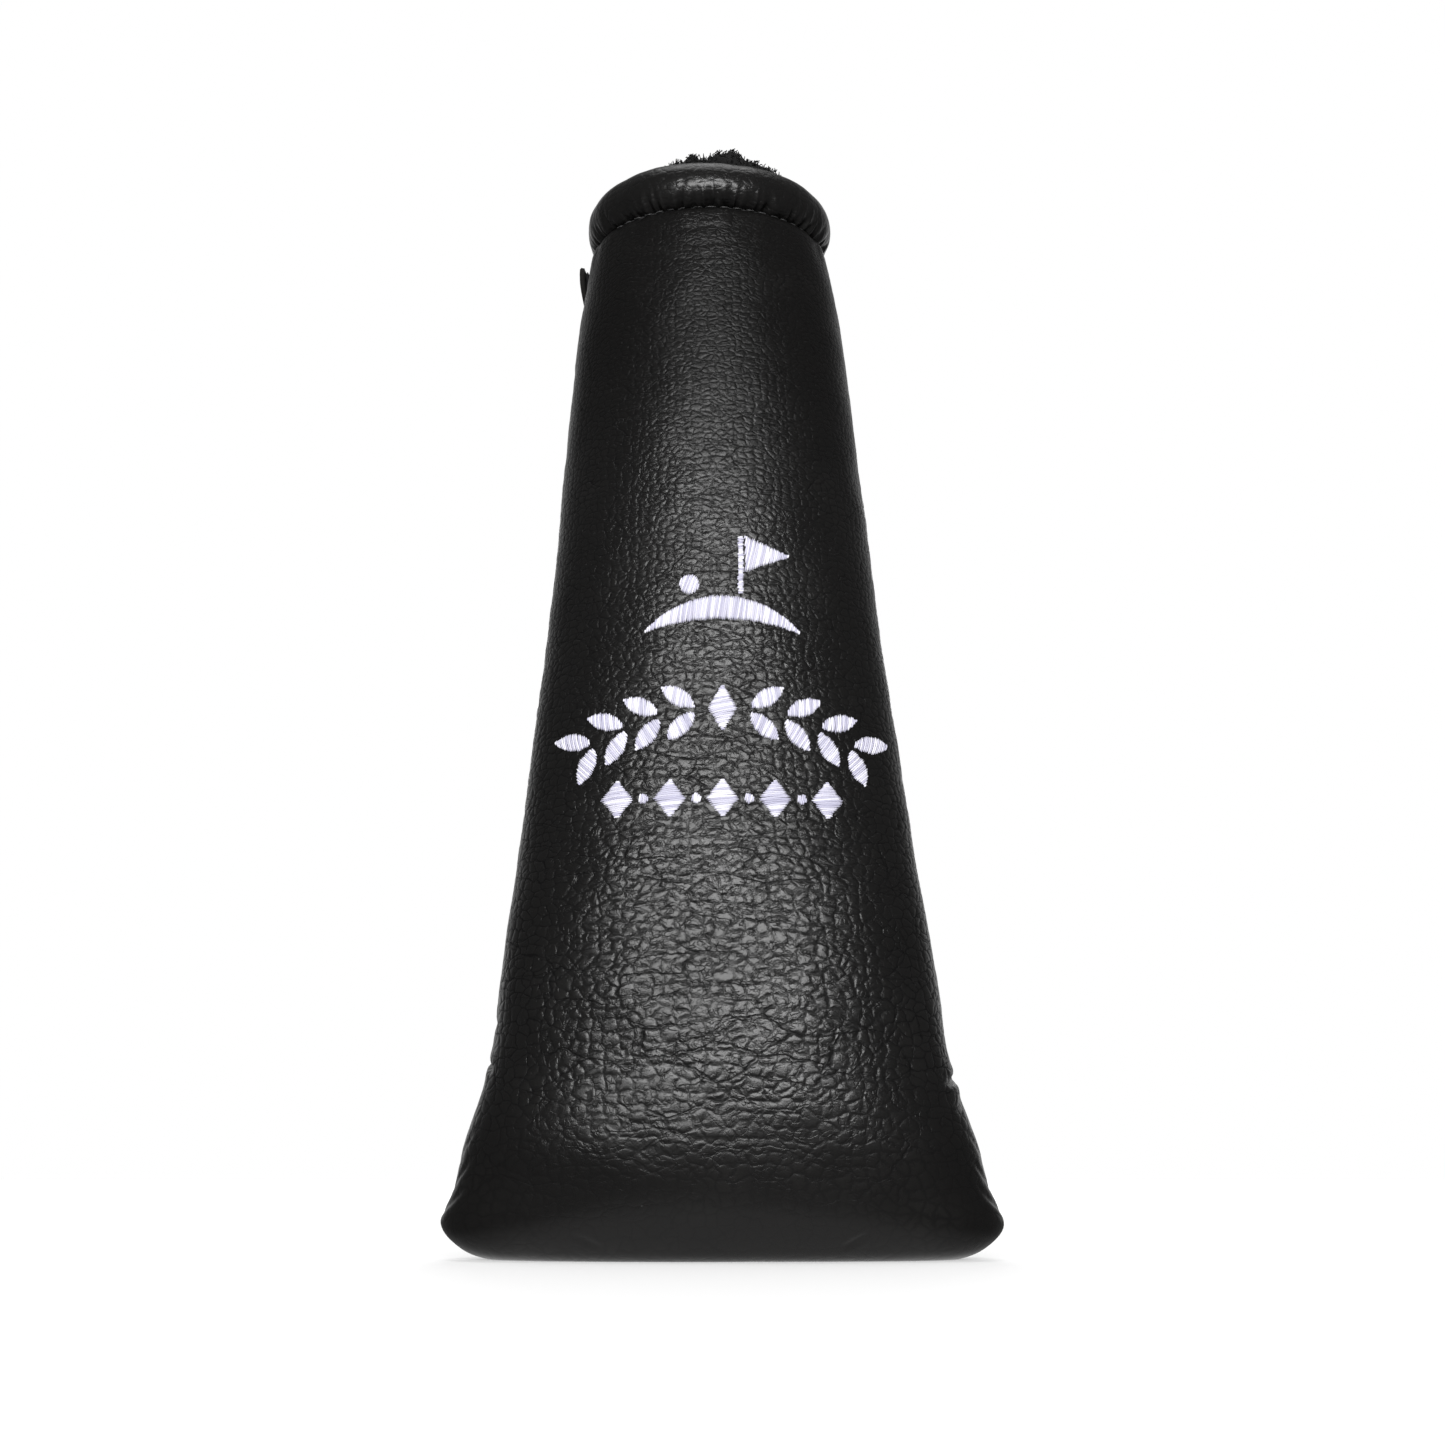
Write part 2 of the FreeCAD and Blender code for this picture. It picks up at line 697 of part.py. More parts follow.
def build_closure(nodes):
    """The flap, its lining and tapes, its sewn-down base and their stitching."""
    shells = {}
    for name, inset in (
        ("loop_out", LOOP_OUT),
        ("hook_in", HOOK_IN),
        ("hook_out", HOOK_OUT),
        ("flap_lining_out", FLAP_LINING_OUT),
        ("flap_out", FLAP_OUT),
        ("flap_thread_out", "(%s - %s)" % (FLAP_OUT, cell("stitch_rise"))),
        ("loop_thread_out", "(%s - %s)" % (LOOP_OUT, cell("loop_stitch_rise"))),
    ):
        shells[name] = envelope(name, inset)
    hinge = cell("hinge_offset")
    base_right = "(%s + %s)" % (hinge, cell("flap_base_width"))
    before_base = "-" + base_right
    near_hinge = "(%s - %s)" % (hinge, cell("hinge_gap"))
    free_side = slanted_block(
        "flap_free_side", "-" + BEYOND_SIDE, near_hinge, BELOW_FLAP, BEYOND_TOP
    )
    whole = prism(
        "flap_block", "YZ_Plane", [flap_outline("0")], BEYOND_SIDE, start=before_base, away=True
    )
    leather = (shells["flap_out"], shells["flap_lining_out"])
    lining = (shells["flap_lining_out"], shells["hook_out"])
    nodes["closure_flap"] = shell_piece("closure_flap", *leather, whole, free_side)
    nodes["flap_lining"] = shell_piece("flap_lining", *lining, whole, free_side)
    tapes = {}
    for name, margin in (("hook", "0"), ("loop", cell("loop_margin"))):
        tapes[name] = prism(
            name + "_block",
            "YZ_Plane",
            [tape_outline(margin)],
            BEYOND_SIDE,
            start=BESIDE_MIDDLE,
            away=True,
        )
    nodes["hook_tape"] = shell_piece("hook_tape", shells["hook_out"], shells["hook_in"], tapes["hook"])
    nodes["loop_tape"] = shell_piece("loop_tape", shells["loop_out"], skins["outer"], tapes["loop"])
    base_block = slanted_block(
        "flap_base_block", hinge, base_right, cell("flap_bottom"), cell("flap_top")
    )
    nodes["flap_base"] = shell_piece("flap_base", shells["flap_out"], skins["outer"], base_block)
    on_flap = (shells["flap_thread_out"], shells["flap_out"])
    on_loop = (shells["loop_thread_out"], shells["loop_out"])
    edge_ring = stitch_ring(
        "flap_edge_ring", flap_outline, cell("edge_inset"), before_base, False
    )
    hook_margin = "-" + cell("tape_margin")
    hook_ring = stitch_ring("hook_ring", tape_outline, hook_margin, BESIDE_MIDDLE, True)
    loop_margin = cell("loop_stitch_margin")
    loop_ring = stitch_ring("loop_ring", tape_outline, loop_margin, BESIDE_MIDDLE, True)
    nodes["flap_edge_stitching"] = shell_piece("flap_edge_stitching", *on_flap, edge_ring, free_side)
    nodes["hook_tape_stitching"] = shell_piece("hook_tape_stitching", *on_flap, hook_ring)
    nodes["loop_tape_stitching"] = shell_piece("loop_tape_stitching", *on_loop, loop_ring)
    anchor = base_ring(hinge, base_right)
    nodes["flap_base_stitching"] = shell_piece("flap_base_stitching", *on_flap, anchor)


def base_ring(left, right):
    """A band one stitch wide round the sewn-down base of the flap."""
    low = cell("flap_bottom")
    high = cell("flap_top")
    outlines = []
    inset = cell("base_inset")
    for margin in (inset, "(%s + %s)" % (inset, cell("stitch_band"))):
        bottom = "(%s + %s)" % (low, margin)
        top = "(%s - %s)" % (high, margin)
        near = "(%s + %s)" % (left, margin)
        far = "(%s - %s)" % (right, margin)
        outlines.append(
            [
                (leaning(near, bottom), bottom),
                (leaning(far, bottom), bottom),
                (leaning(far, top), top),
                (leaning(near, top), top),
            ]
        )
    return prism("flap_base_ring", "XZ_Plane", outlines, BEYOND_SIDE, away=True)


# ---------------------------------------------------------------- the whole cover


def check(features):
    """Stop if any object failed to compute, or a node is not one or more valid solids."""
    failed = [item.Name for item in doc.Objects if {"Invalid", "Error"} & set(item.State)]
    if failed:
        raise RuntimeError("not computed: " + ", ".join(failed))
    for label, feature in features.items():
        shape = feature.Shape
        if shape.isNull() or not shape.isValid() or not shape.Solids:
            raise RuntimeError("not a valid solid: " + label)


def write(features):
    """Label each node and write it to a STEP file of its own."""
    os.makedirs(NODE_FOLDER, exist_ok=True)
    for label, feature in features.items():
        feature.Label = label
        feature.Shape.exportStep(os.path.join(NODE_FOLDER, label + ".step"))
        print("%-26s %2d solids %9.1f mm3" % (label, len(feature.Shape.Solids), feature.Shape.Volume))


fill_sheet()
skins = {
    "outer": envelope("outer_skin", "0"),
    "leather_in": envelope("leather_in", LEATHER_IN),
    "padding_out": envelope("padding_out", PADDING_OUT),
    "padding_in": envelope("padding_in", PADDING_IN),
    "patch_in": envelope("patch_in", "(%s + %s)" % (PADDING_OUT, cell("backing_patch"))),
    "fleece_out": fleece_envelope("fleece_out", FLEECE_OUT, cell("mouth_radius"), "3"),
    "fleece_in": fleece_envelope(
        "fleece_in", FLEECE_IN, "(%s - %s)" % (cell("mouth_radius"), cell("fleece")), "6"
    ),
}
cover = {}
build_wall(cover, halves())
build_collar(cover)
build_seams(cover)
build_slit_stitching(cover)
build_embroidery(cover)
build_closure(cover)
doc.recompute()
check(cover)
write(cover)
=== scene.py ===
import math

import bpy
import numpy as np
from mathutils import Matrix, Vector
from mathutils.bvhtree import BVHTree


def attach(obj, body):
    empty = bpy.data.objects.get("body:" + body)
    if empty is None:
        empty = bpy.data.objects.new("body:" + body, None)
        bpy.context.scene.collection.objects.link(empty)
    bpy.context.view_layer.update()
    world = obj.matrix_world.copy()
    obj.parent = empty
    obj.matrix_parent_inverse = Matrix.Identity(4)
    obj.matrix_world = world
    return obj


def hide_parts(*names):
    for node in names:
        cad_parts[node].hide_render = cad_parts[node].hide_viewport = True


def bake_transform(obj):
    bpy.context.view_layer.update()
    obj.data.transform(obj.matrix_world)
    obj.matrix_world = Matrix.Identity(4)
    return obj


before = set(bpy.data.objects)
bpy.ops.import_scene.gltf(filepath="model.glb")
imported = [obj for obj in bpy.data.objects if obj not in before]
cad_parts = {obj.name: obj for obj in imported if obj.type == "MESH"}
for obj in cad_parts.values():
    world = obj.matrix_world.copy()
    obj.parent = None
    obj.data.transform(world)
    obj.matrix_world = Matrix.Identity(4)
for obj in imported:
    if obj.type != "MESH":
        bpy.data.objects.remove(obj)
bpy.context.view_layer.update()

# A putter head cover, standing on its sole. Metres, in the frame's own axes: +Z up, -Y the
# embroidered front, -X the side that the flap closes on.

MM = 0.001

# ---------------------------------------------------------------- driving sizes

# The outer surface as level ovals, in mm: height, half width, half depth. The first two lie
# under the sole, where the front and the back come together in the bottom seam.
OVALS = [
    (0.6, 50.0, 0.3),
    (0.3, 51.0, 8.0),
    (0.0, 53.0, 15.5),
    (1.1, 57.6, 17.8),
    (3.3, 61.5, 19.8),
    (8.0, 65.0, 22.5),
    (13.5, 62.8, 24.4),
    (25.0, 59.6, 26.6),
    (36.0, 56.4, 27.4),
    (47.0, 53.6, 27.6),
    (60.0, 52.2, 27.3),
    (83.0, 49.0, 26.6),
    (120.0, 44.3, 26.2),
    (158.0, 40.2, 26.9),
    (197.0, 36.6, 28.2),
    (224.0, 33.8, 28.9),
    (240.0, 31.5, 29.1),
    (250.2, 29.3, 28.7),
]
UNDER_SOLE = 2  # how many of the ovals lie under the sole

RIM = 250.2 * MM
LEAN = 3.5 * MM  # how far the middle of the rim stands to the left of the sole's
SLIT_BOTTOM = 150.0 * MM
LEFT_NOTCH, RIGHT_NOTCH = 47.5, 42.7  # in mm: where the foot's deepest creases meet its seams

# Depths under the outer surface, and what is left free or pressed in beside seams and the slit.
LEATHER = 1.3 * MM
BACKING_OUT, BACKING_IN = 1.33 * MM, 1.57 * MM
PADDING_OUT, PADDING_IN = 1.6 * MM, 3.3 * MM
FLEECE_OUT, FLEECE_IN = 3.6 * MM, 6.35 * MM
SEAM_TRIM, SLIT_TRIM = 0.4 * MM, 0.8 * MM
SEAM_PINCH = 1.25 * MM
TUFTS = 0.5 * MM

# The roll round the mouth, as an oval tube.
ROLL_RADIUS = 27.0 * MM
ROLL_HALF_WIDTH, ROLL_HALF_HEIGHT = 4.2 * MM, 5.6 * MM
ROLL_MIDDLE = 256.0 * MM
ROLL_TOP = ROLL_MIDDLE + ROLL_HALF_HEIGHT
MOUTH_RADIUS = 22.5 * MM
PUCKERS = 46
RIM_GAP = 4  # degrees that the mouth's fleece and seam leave free on each side of the slit

# The embroidery's backing, and the closure on the neck.
BACKING_LOW, BACKING_HIGH = 94.0 * MM, 171.0 * MM
BACKING_HALF_WIDTH = 30.0 * MM
FLAP_BOTTOM, FLAP_TOP = 207.0 * MM, 247.4 * MM
BASE_LEFT, BASE_RIGHT = 7.0 * MM, 17.0 * MM
TAPE_BOTTOM, TAPE_TOP = 213.0 * MM, 241.5 * MM
TAPE_FRONT, TAPE_BACK = 18.5 * MM, 26.0 * MM
LOOP_MARGIN = 2.4 * MM
TAPE_INSET = 1.8 * MM
EDGE_INSET = 2.2 * MM

# How far above the neck's outer surface the closure's thin pieces lie: inner and outer face.
LINING_LIFT = 1.5 * MM, 2.06 * MM
HOOK_LIFT = 0.92 * MM, 1.48 * MM
LOOP_LIFT = 0.03 * MM, 0.58 * MM

SATIN_PITCH = 0.43  # in mm, from stitch to stitch
SATIN_THREAD = 0.235 * MM, 0.17 * MM  # half its width and half its height

# Running stitches: their length and the gap between two.
SEAM_STITCH = 2.4 * MM, 0.55 * MM
EDGE_STITCH = 2.6 * MM, 0.7 * MM
TAPE_STITCH = 2.2 * MM, 0.6 * MM

# Flat sizes of the cut pieces in metres, width and length, and areas in square metres.
FRONT_FLAT, FRONT_AREA = (0.150, 0.272), 0.0292
BACK_FLAT, BACK_AREA = (0.076, 0.272), 0.0144

PANEL_ROWS = 441  # rows of points in a panel of the outer leather

WHOLE_TURN = 2 * math.pi
HALF_TURN = math.pi
QUARTER = math.pi / 2
BACKWARD = [0.0, 1.0, 0.0]  # the way out of the back


# ---------------------------------------------------------------- arithmetic


def curve_through(knots, values):
    """A function that runs smoothly through the values at the knots, as a natural cubic spline."""
    knots, values = np.asarray(knots, float), np.asarray(values, float)
    gaps = np.diff(knots)
    count = len(knots)
    matrix, right = np.eye(count), np.zeros(count)
    for i in range(1, count - 1):
        matrix[i, i - 1 : i + 2] = gaps[i - 1], 2 * (gaps[i - 1] + gaps[i]), gaps[i]
        rise_after = (values[i + 1] - values[i]) / gaps[i]
        rise_before = (values[i] - values[i - 1]) / gaps[i - 1]
        right[i] = 6 * (rise_after - rise_before)
    bend = np.linalg.solve(matrix, right)

    def at(place):
        place = np.clip(place, knots[0], knots[-1])
        i = np.clip(np.searchsorted(knots, place) - 1, 0, count - 2)
        gone, left, gap = place - knots[i], knots[i + 1] - place, gaps[i]
        cubic = (bend[i] * left**3 + bend[i + 1] * gone**3) / (6 * gap)
        start = (values[i] / gap - bend[i] * gap / 6) * left
        end = (values[i + 1] / gap - bend[i + 1] * gap / 6) * gone
        return cubic + start + end

    return at


def ease(value, low, high):
    """0 below low, 1 above high, and a smooth rise between them."""
    share = np.clip((value - low) / (high - low), 0, 1)
    return share * share * (3 - 2 * share)


def bump_of(distance, width):
    """A smooth bell, 1 at distance 0 and near 0 two widths away."""
    return np.exp(-((distance / width) ** 2))


def soft_noise(points, size, seed):
    """Smooth noise from -1 to 1 with lumps of about the given size, one size or one for each axis."""
    lattice = np.random.default_rng(seed).uniform(-1, 1, (32, 32, 32))
    place = np.asarray(points) / size
    cell = np.floor(place).astype(int)
    share = place - cell
    share = share * share * (3 - 2 * share)
    total = np.zeros(place.shape[:-1])
    for corner in np.ndindex(2, 2, 2):
        at = (cell + corner) % 32
        weight = np.ones(place.shape[:-1])
        for axis in range(3):
            weight = weight * (share[..., axis] if corner[axis] else 1 - share[..., axis])
        total += weight * lattice[at[..., 0], at[..., 1], at[..., 2]]
    return total


def unit(vectors):
    """The same directions, each one of length 1."""
    return vectors / np.maximum(np.linalg.norm(vectors, axis=-1, keepdims=True), 1e-12)


def grid_normals(grid):
    """The outward normal at each point of a grid of points."""
    along_row = np.gradient(grid, axis=1)
    up_column = np.gradient(grid, axis=0)
    return unit(np.cross(along_row, up_column))


# ---------------------------------------------------------------- the cover's surface


def middle_x(height):
    """Where the leaning middle line stands at a height."""
    return -LEAN * height / RIM


def rounded(share, height):
    """A sine or cosine, drawn out so that the foot's ovals are flatter in front than ellipses."""
    power = np.interp(height, [0.0, 0.025, 0.065, 0.095, 0.13], [2.3, 2.6, 2.65, 2.35, 2.0])
    return np.sign(share) * np.abs(share) ** (2 / power)


class Layer:
    """One of the nested surfaces of the wall, drawn in from the outer surface by a depth."""

    def __init__(self, depth, ovals=None):
        rows = np.array(ovals or OVALS, float) * MM
        height = rows[:, 0] + depth * (1 - rows[:, 0] / RIM)
        width = rows[:, 1] - depth
        deep = np.maximum(rows[:, 2] - depth, 0.2 * MM)
        if depth > 0 and ovals is None:
            keep = [0] + list(range(UNDER_SOLE, len(rows)))
            height, width, deep = height[keep], width[keep], deep[keep]
        steps = np.hypot(np.diff(height), np.diff(deep))
        self.slants = np.concatenate([[0], np.cumsum(steps)])
        self.length = self.slants[-1]
        self.height = curve_through(self.slants, height)
        self.width = curve_through(self.slants, width)
        self.deep = curve_through(self.slants, deep)
        wall = height >= (depth if depth > 0 else 0) - 1e-9
        wall[:1] = False
        self.slant_at = lambda z: np.interp(z, height[wall], self.slants[wall])

    def point(self, slant, turn):
        """The point at a slant length from the bottom seam, a turn from the front's middle."""
        z = np.maximum(self.height(slant), 0.05 * MM)
        x = middle_x(z) + self.width(slant) * rounded(np.sin(turn), z)
        y = -self.deep(slant) * rounded(np.cos(turn), z)
        return np.stack(np.broadcast_arrays(x, y, z), axis=-1)

    def point_at(self, z, turn):
        """The point at a height and a turn."""
        return self.point(self.slant_at(z), turn)


OUTER = Layer(0)


def patch(layer, slants, start, end, columns, trim_start, trim_end):
    """A grid of points over a layer, evenly spaced along each row, and each point's arc length.

    The trims are what each row leaves free at its start and at its end."""
    turns = np.linspace(start, end, 241)
    shares = np.linspace(0, 1, columns)
    grid, arcs = [], []
    for slant, before, after in zip(slants, trim_start, trim_end):
        line = layer.point(np.full(len(turns), slant), turns)
        lengths = np.linalg.norm(np.diff(line, axis=0), axis=1)
        travelled = np.concatenate([[0], np.cumsum(lengths)])
        wanted = before + shares * (travelled[-1] - before - after)
        turn = np.interp(wanted, travelled, turns)
        grid.append(layer.point(np.full(columns, slant), turn))
        arcs.append(wanted)
    return np.array(grid), np.array(arcs)


# ---------------------------------------------------------------- meshes


def mesh_object(name, points, faces, materials, face_material=None):
    """A smooth-shaded mesh object."""
    mesh = bpy.data.meshes.new(name)
    mesh.from_pydata(np.asarray(points).reshape(-1, 3).tolist(), [], [list(f) for f in faces])
    for material in materials:
        mesh.materials.append(material)
    if face_material is not None:
        mesh.polygons.foreach_set("material_index", np.asarray(face_material, np.int32))
    mesh.polygons.foreach_set("use_smooth", np.ones(len(mesh.polygons), bool))
    mesh.update()
    made = bpy.data.objects.new(name, mesh)
    bpy.context.scene.collection.objects.link(made)
    return made


def store(made, name, values, kind="FLOAT"):
    """Keep one value or vector for each point, for the materials to read."""
    attribute = made.data.attributes.new(name, kind, "POINT")
    key = "vector" if kind == "FLOAT_VECTOR" else "value"
    attribute.data.foreach_set(key, np.asarray(values, np.float32).ravel())


def closed_sheet(name, outer, inner, step, materials):
    """A closed solid between two grids. The inner one is used at every step-th point only.

    Its points are the outer grid's, row by row, and then the inner ones. The first material is
    the outer face's, and the second one that of the inner face and the edges."""
    rows, columns = outer.shape[:2]
    inside = inner[::step, ::step]
    in_rows, in_columns = inside.shape[:2]
    count = rows * columns
    out_id = np.arange(count).reshape(rows, columns)
    in_id = count + np.arange(in_rows * in_columns).reshape(in_rows, in_columns)

    def quads(ids):
        return np.stack([ids[:-1, :-1], ids[:-1, 1:], ids[1:, 1:], ids[1:, :-1]], -1).reshape(-1, 4)

    faces = quads(out_id).tolist()
    shown = len(faces)
    faces += quads(in_id)[:, ::-1].tolist()
    borders = (
        (out_id[0], in_id[0]),
        (out_id[:, -1], in_id[:, -1]),
        (out_id[-1, ::-1], in_id[-1, ::-1]),
        (out_id[::-1, 0], in_id[::-1, 0]),
    )
    for fine, coarse in borders:
        for k in range(len(coarse) - 1):
            run = fine[k * step : (k + 1) * step + 1]
            faces.append(list(run[::-1]) + [coarse[k], coarse[k + 1]])
    points = np.concatenate([outer.reshape(-1, 3), inside.reshape(-1, 3)])
    which = np.ones(len(faces), int)
    which[:shown] = 0
    return mesh_object(name, points, faces, materials, which)


def belongs(made, body, slot, *nodes):
    """What a piece rides on, and the CAD nodes that it replaces, if any. Its slot is not used."""
    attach(made, body)
    if nodes:
        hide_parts(*nodes)


def round_mouth(turns):
    """Level directions out of the mouth's middle, at turns from the middle of the back."""
    return np.stack([np.sin(turns), np.cos(turns), 0 * turns], -1)


def open_ring(gap, rounds, around):
    """Turns round the mouth, from one side of the slit to the other with a gap in degrees at
    each, and angles round a tube there, which start on its inside and run under it."""
    turn = np.linspace(math.radians(gap), WHOLE_TURN - math.radians(gap), rounds)
    return np.meshgrid(turn, np.arange(around) * WHOLE_TURN / around, indexing="ij")


def round_grid(turns, radius, height):
    """Points round the mouth, each at its own turn, radius and height."""
    grid = round_mouth(turns) * radius[..., None]
    grid[..., 2] = height
    return grid - [LEAN, 0.0, 0.0]


def open_tube(name, grid, material):
    """A tube through a grid of points, closed at both of its ends."""
    rounds, around = grid.shape[:2]
    ids = np.arange(rounds * around).reshape(rounds, around)
    nxt = np.roll(ids, -1, axis=1)
    faces = np.stack([ids[:-1], nxt[:-1], nxt[1:], ids[1:]], -1).reshape(-1, 4)
    faces = faces.tolist() + [ids[0, ::-1].tolist(), ids[-1].tolist()]
    return mesh_object(name, grid, faces, [material])


def tubes(name, paths, normals, half_width, half_height, material, sides=6, taper=0.6):
    """Flattened threads, one along each path. paths and normals are (threads, points, 3)."""
    paths, normals = np.asarray(paths, float), unit(np.asarray(normals, float))
    count, length = paths.shape[:2]
    tangents = unit(np.gradient(paths, axis=1))
    across = unit(np.cross(tangents, normals))
    up = np.cross(across, tangents)
    full = np.ones((length, 1))
    full[[0, -1]] = taper
    angles = np.arange(sides) * WHOLE_TURN / sides
    ring = (
        np.cos(angles)[:, None] * (across * (half_width * full))[:, :, None]
        + np.sin(angles)[:, None] * (up * (half_height * full))[:, :, None]
    )
    points = paths[:, :, None] + ring
    ids = np.arange(count * length * sides).reshape(count, length, sides)
    nxt = np.roll(ids, -1, axis=2)
    walls = np.stack([ids[:, :-1], ids[:, 1:], nxt[:, 1:], nxt[:, :-1]], -1).reshape(-1, 4)
    faces = walls.tolist() + ids[:, 0].tolist() + ids[:, -1, ::-1].tolist()
    made = mesh_object(name, points, faces, [material])
    store(made, "along", np.broadcast_to(np.linspace(0, 1, length)[:, None], ids.shape))
    tone = np.random.default_rng(count).uniform(0, 1, count)
    store(made, "tone", np.broadcast_to(tone[:, None, None], ids.shape))
    return made


# ---------------------------------------------------------------- node graphs


class Graph:
    """Short calls for the nodes of a shader or geometry tree."""

    def __init__(self, tree):
        self.tree = tree

    def add(self, kind, values=(), **settings):
        """A node with its settings, and its inputs by name or number: values or other sockets."""
        node = self.tree.nodes.new(kind)
        for key, value in settings.items():
            setattr(node, key, value)
        for key, value in dict(values).items():
            if isinstance(value, bpy.types.NodeSocket):
                self.tree.links.new(value, node.inputs[key])
            else:
                node.inputs[key].default_value = value
        return node

    def math(self, operation, first, second=0.0, clamp=False):
        """One step of arithmetic. minus, plus and times are shorter names for the usual ones."""
        values = {0: first, 1: second}
        return self.add("ShaderNodeMath", values, operation=operation, use_clamp=clamp).outputs[0]

    def minus(self, first, second):
        return self.math("SUBTRACT", first, second)

    def plus(self, first, *others):
        for other in others:
            first = self.math("ADD", first, other)
        return first

    def times(self, first, *others):
        for other in others:
            first = self.math("MULTIPLY", first, other)
        return first

    def vector(self, operation, first, second):
        values = {0: first, 1: second}
        return self.add("ShaderNodeVectorMath", values, operation=operation).outputs[0]

    def remap(self, value, low, high, new_low=0.0, new_high=1.0):
        """value from low to high, eased onto the new range."""
        values = {0: value, 1: low, 2: high, 3: new_low, 4: new_high}
        return self.add("ShaderNodeMapRange", values, interpolation_type="SMOOTHSTEP").outputs[0]

    def noise(self, place, scale, detail=2.0, rough=0.5, output=0):
        values = {"Vector": place, "Scale": scale, "Detail": detail, "Roughness": rough}
        return self.add("ShaderNodeTexNoise", values).outputs[output]

    def cells(self, place, scale=1.0, randomness=1.0, **settings):
        """How far a place is from the edge of its cell, or another feature of the cells."""
        values = {"Vector": place, "Scale": scale, "Randomness": randomness}
        settings = {"feature": "DISTANCE_TO_EDGE", "voronoi_dimensions": "2D", **settings}
        return self.add("ShaderNodeTexVoronoi", values, **settings).outputs[0]

    def mix(self, share, first, second):
        """A colour between two colours."""
        values = {0: share, 6: first, 7: second}
        return self.add("ShaderNodeMix", values, data_type="RGBA").outputs[2]

    def kept(self, name):
        """What the mesh keeps for each point, as a vector and as a number."""
        node = self.add("ShaderNodeAttribute", attribute_name=name)
        return node.outputs["Vector"], node.outputs["Fac"]

    def place(self, kind="Object"):
        """The place being shaded, in the object's own axes."""
        return self.add("ShaderNodeTexCoord").outputs[kind]

    def parts(self, vector):
        """The X, Y and Z of a vector."""
        return self.add("ShaderNodeSeparateXYZ", {0: vector}).outputs

    def bump(self, height, distance):
        """The normal of a surface that has this height on it."""
        values = {"Strength": 1.0, "Distance": distance, "Height": height}
        return self.add("ShaderNodeBump", values).outputs[0]

    def surface(self, **values):
        """The material's surface, with _ for each space in the name of an input."""
        values = {name.replace("_", " "): value for name, value in values.items()}
        shader = self.add("ShaderNodeBsdfPrincipled", values)
        self.add("ShaderNodeOutputMaterial", {"Surface": shader.outputs[0]})


def grey(level):
    """A neutral colour of a given brightness."""
    return (level, level, level, 1)


def new_material(name):
    """An empty node material and its graph."""
    material = bpy.data.materials.new(name)
    material.use_nodes = True
    material.node_tree.nodes.clear()
    return material, Graph(material.node_tree)


# ---------------------------------------------------------------- leather


def grain_nodes(graph, place):
    """The pebbled grain over a place given in cells: its height, from 0 in the creases to 1 on
    top of the round pebbles, and a mask of the thin creases between them, for painted shade."""
    bent = place
    for scale, reach in ((0.55, 1.2), (2.6, 0.26)):
        drift = graph.vector("SUBTRACT", graph.noise(place, scale, output="Color"), (0.5, 0.5, 0.5))
        bent = graph.vector("ADD", bent, graph.vector("MULTIPLY", drift, (reach, reach, 0.0)))
    edge = graph.cells(bent, 1.0, 0.80)
    slope = graph.remap(edge, 0.0, 0.40, 1.0, 0.0)
    faint = graph.remap(graph.noise(place, 0.8), 0.36, 0.60, 0.62, 1.0)
    dip = graph.times(slope, slope, faint)
    second = graph.remap(graph.cells(bent, 2.2), 0.0, 0.22, 1.0, 0.0)
    some = graph.remap(graph.noise(place, 1.1, 1.0), 0.42, 0.62, 0.0, 0.45)
    minor = graph.times(second, second, some)
    wide = graph.vector("MULTIPLY", bent, (0.20, 0.42, 0.0))
    reach = graph.remap(graph.noise(place, 0.16, 1.0), 0.38, 0.62, 0.0, 0.8)
    crease = graph.times(graph.remap(graph.cells(wide), 0.0, 0.045, 1.0, 0.0), reach)
    height = graph.minus(1.0, graph.plus(dip, minor, crease))
    thin = graph.times(graph.remap(edge, 0.0, 0.10, 1.0, 0.0), faint)
    dark = graph.math("ADD", graph.plus(thin, graph.times(minor, 0.6)), crease, True)
    return height, dark


def leather_material():
    """Black aniline leather: satin, with round pebbles and pores, and painted shade in its creases.
    """
    material, graph = new_material("black_pebbled_leather")
    place, _ = graph.kept("grain")
    _, depth = graph.kept("grain_depth")
    pebbles, dark = grain_nodes(graph, place)
    dark = graph.times(dark, depth)
    fine = graph.noise(place, 3.4, 4.0, 0.6)
    pores = graph.remap(graph.cells(place, 6.0, feature="F1"), 0.0, 0.25)
    broad = graph.noise(place, 0.11, 3.0)
    height = graph.plus(pebbles, graph.times(fine, 0.42), graph.times(pores, 0.06))
    # Painted shade: darker tone and lower gloss in the creases, for the shade that falls in them.
    crease_shade_tone = (0.0024, 0.0023, 0.0024, 1)
    top_tone = (0.0050, 0.0048, 0.0047, 1)
    worn_tone = (0.0074, 0.0071, 0.0068, 1)
    worn = graph.times(graph.remap(broad, 0.5, 0.8), graph.remap(pebbles, 0.3, 0.9))
    tone = graph.mix(dark, graph.mix(worn, top_tone, worn_tone), crease_shade_tone)
    uneven = graph.times(graph.minus(broad, 0.5), 0.16)
    rough = graph.plus(graph.remap(dark, 0.0, 1.0, 0.29, 0.47), uneven)
    rough = graph.plus(rough, graph.times(graph.minus(fine, 0.5), 0.10))
    # Painted shade: the gloss is lowered up the neck and along the foot's lower edge, so that
    # the lamps' reflections come out darker there than on the body.
    up = graph.parts(graph.place())["Z"]
    neck = graph.minus(graph.remap(up, 0.160, 0.225), graph.remap(up, 0.246, 0.252))
    above = graph.minus(1.0, graph.times(neck, 0.62))
    painted_shade_gloss = graph.times(above, graph.remap(up, 0.016, 0.042, 0.55, 1.0))
    gloss = graph.times(graph.remap(dark, 0.0, 1.0, 0.24, 0.10), painted_shade_gloss)
    normal = graph.bump(graph.times(height, depth), 0.00011)
    graph.surface(Base_Color=tone, Roughness=rough, Normal=normal, Specular_IOR_Level=gloss)
    return material


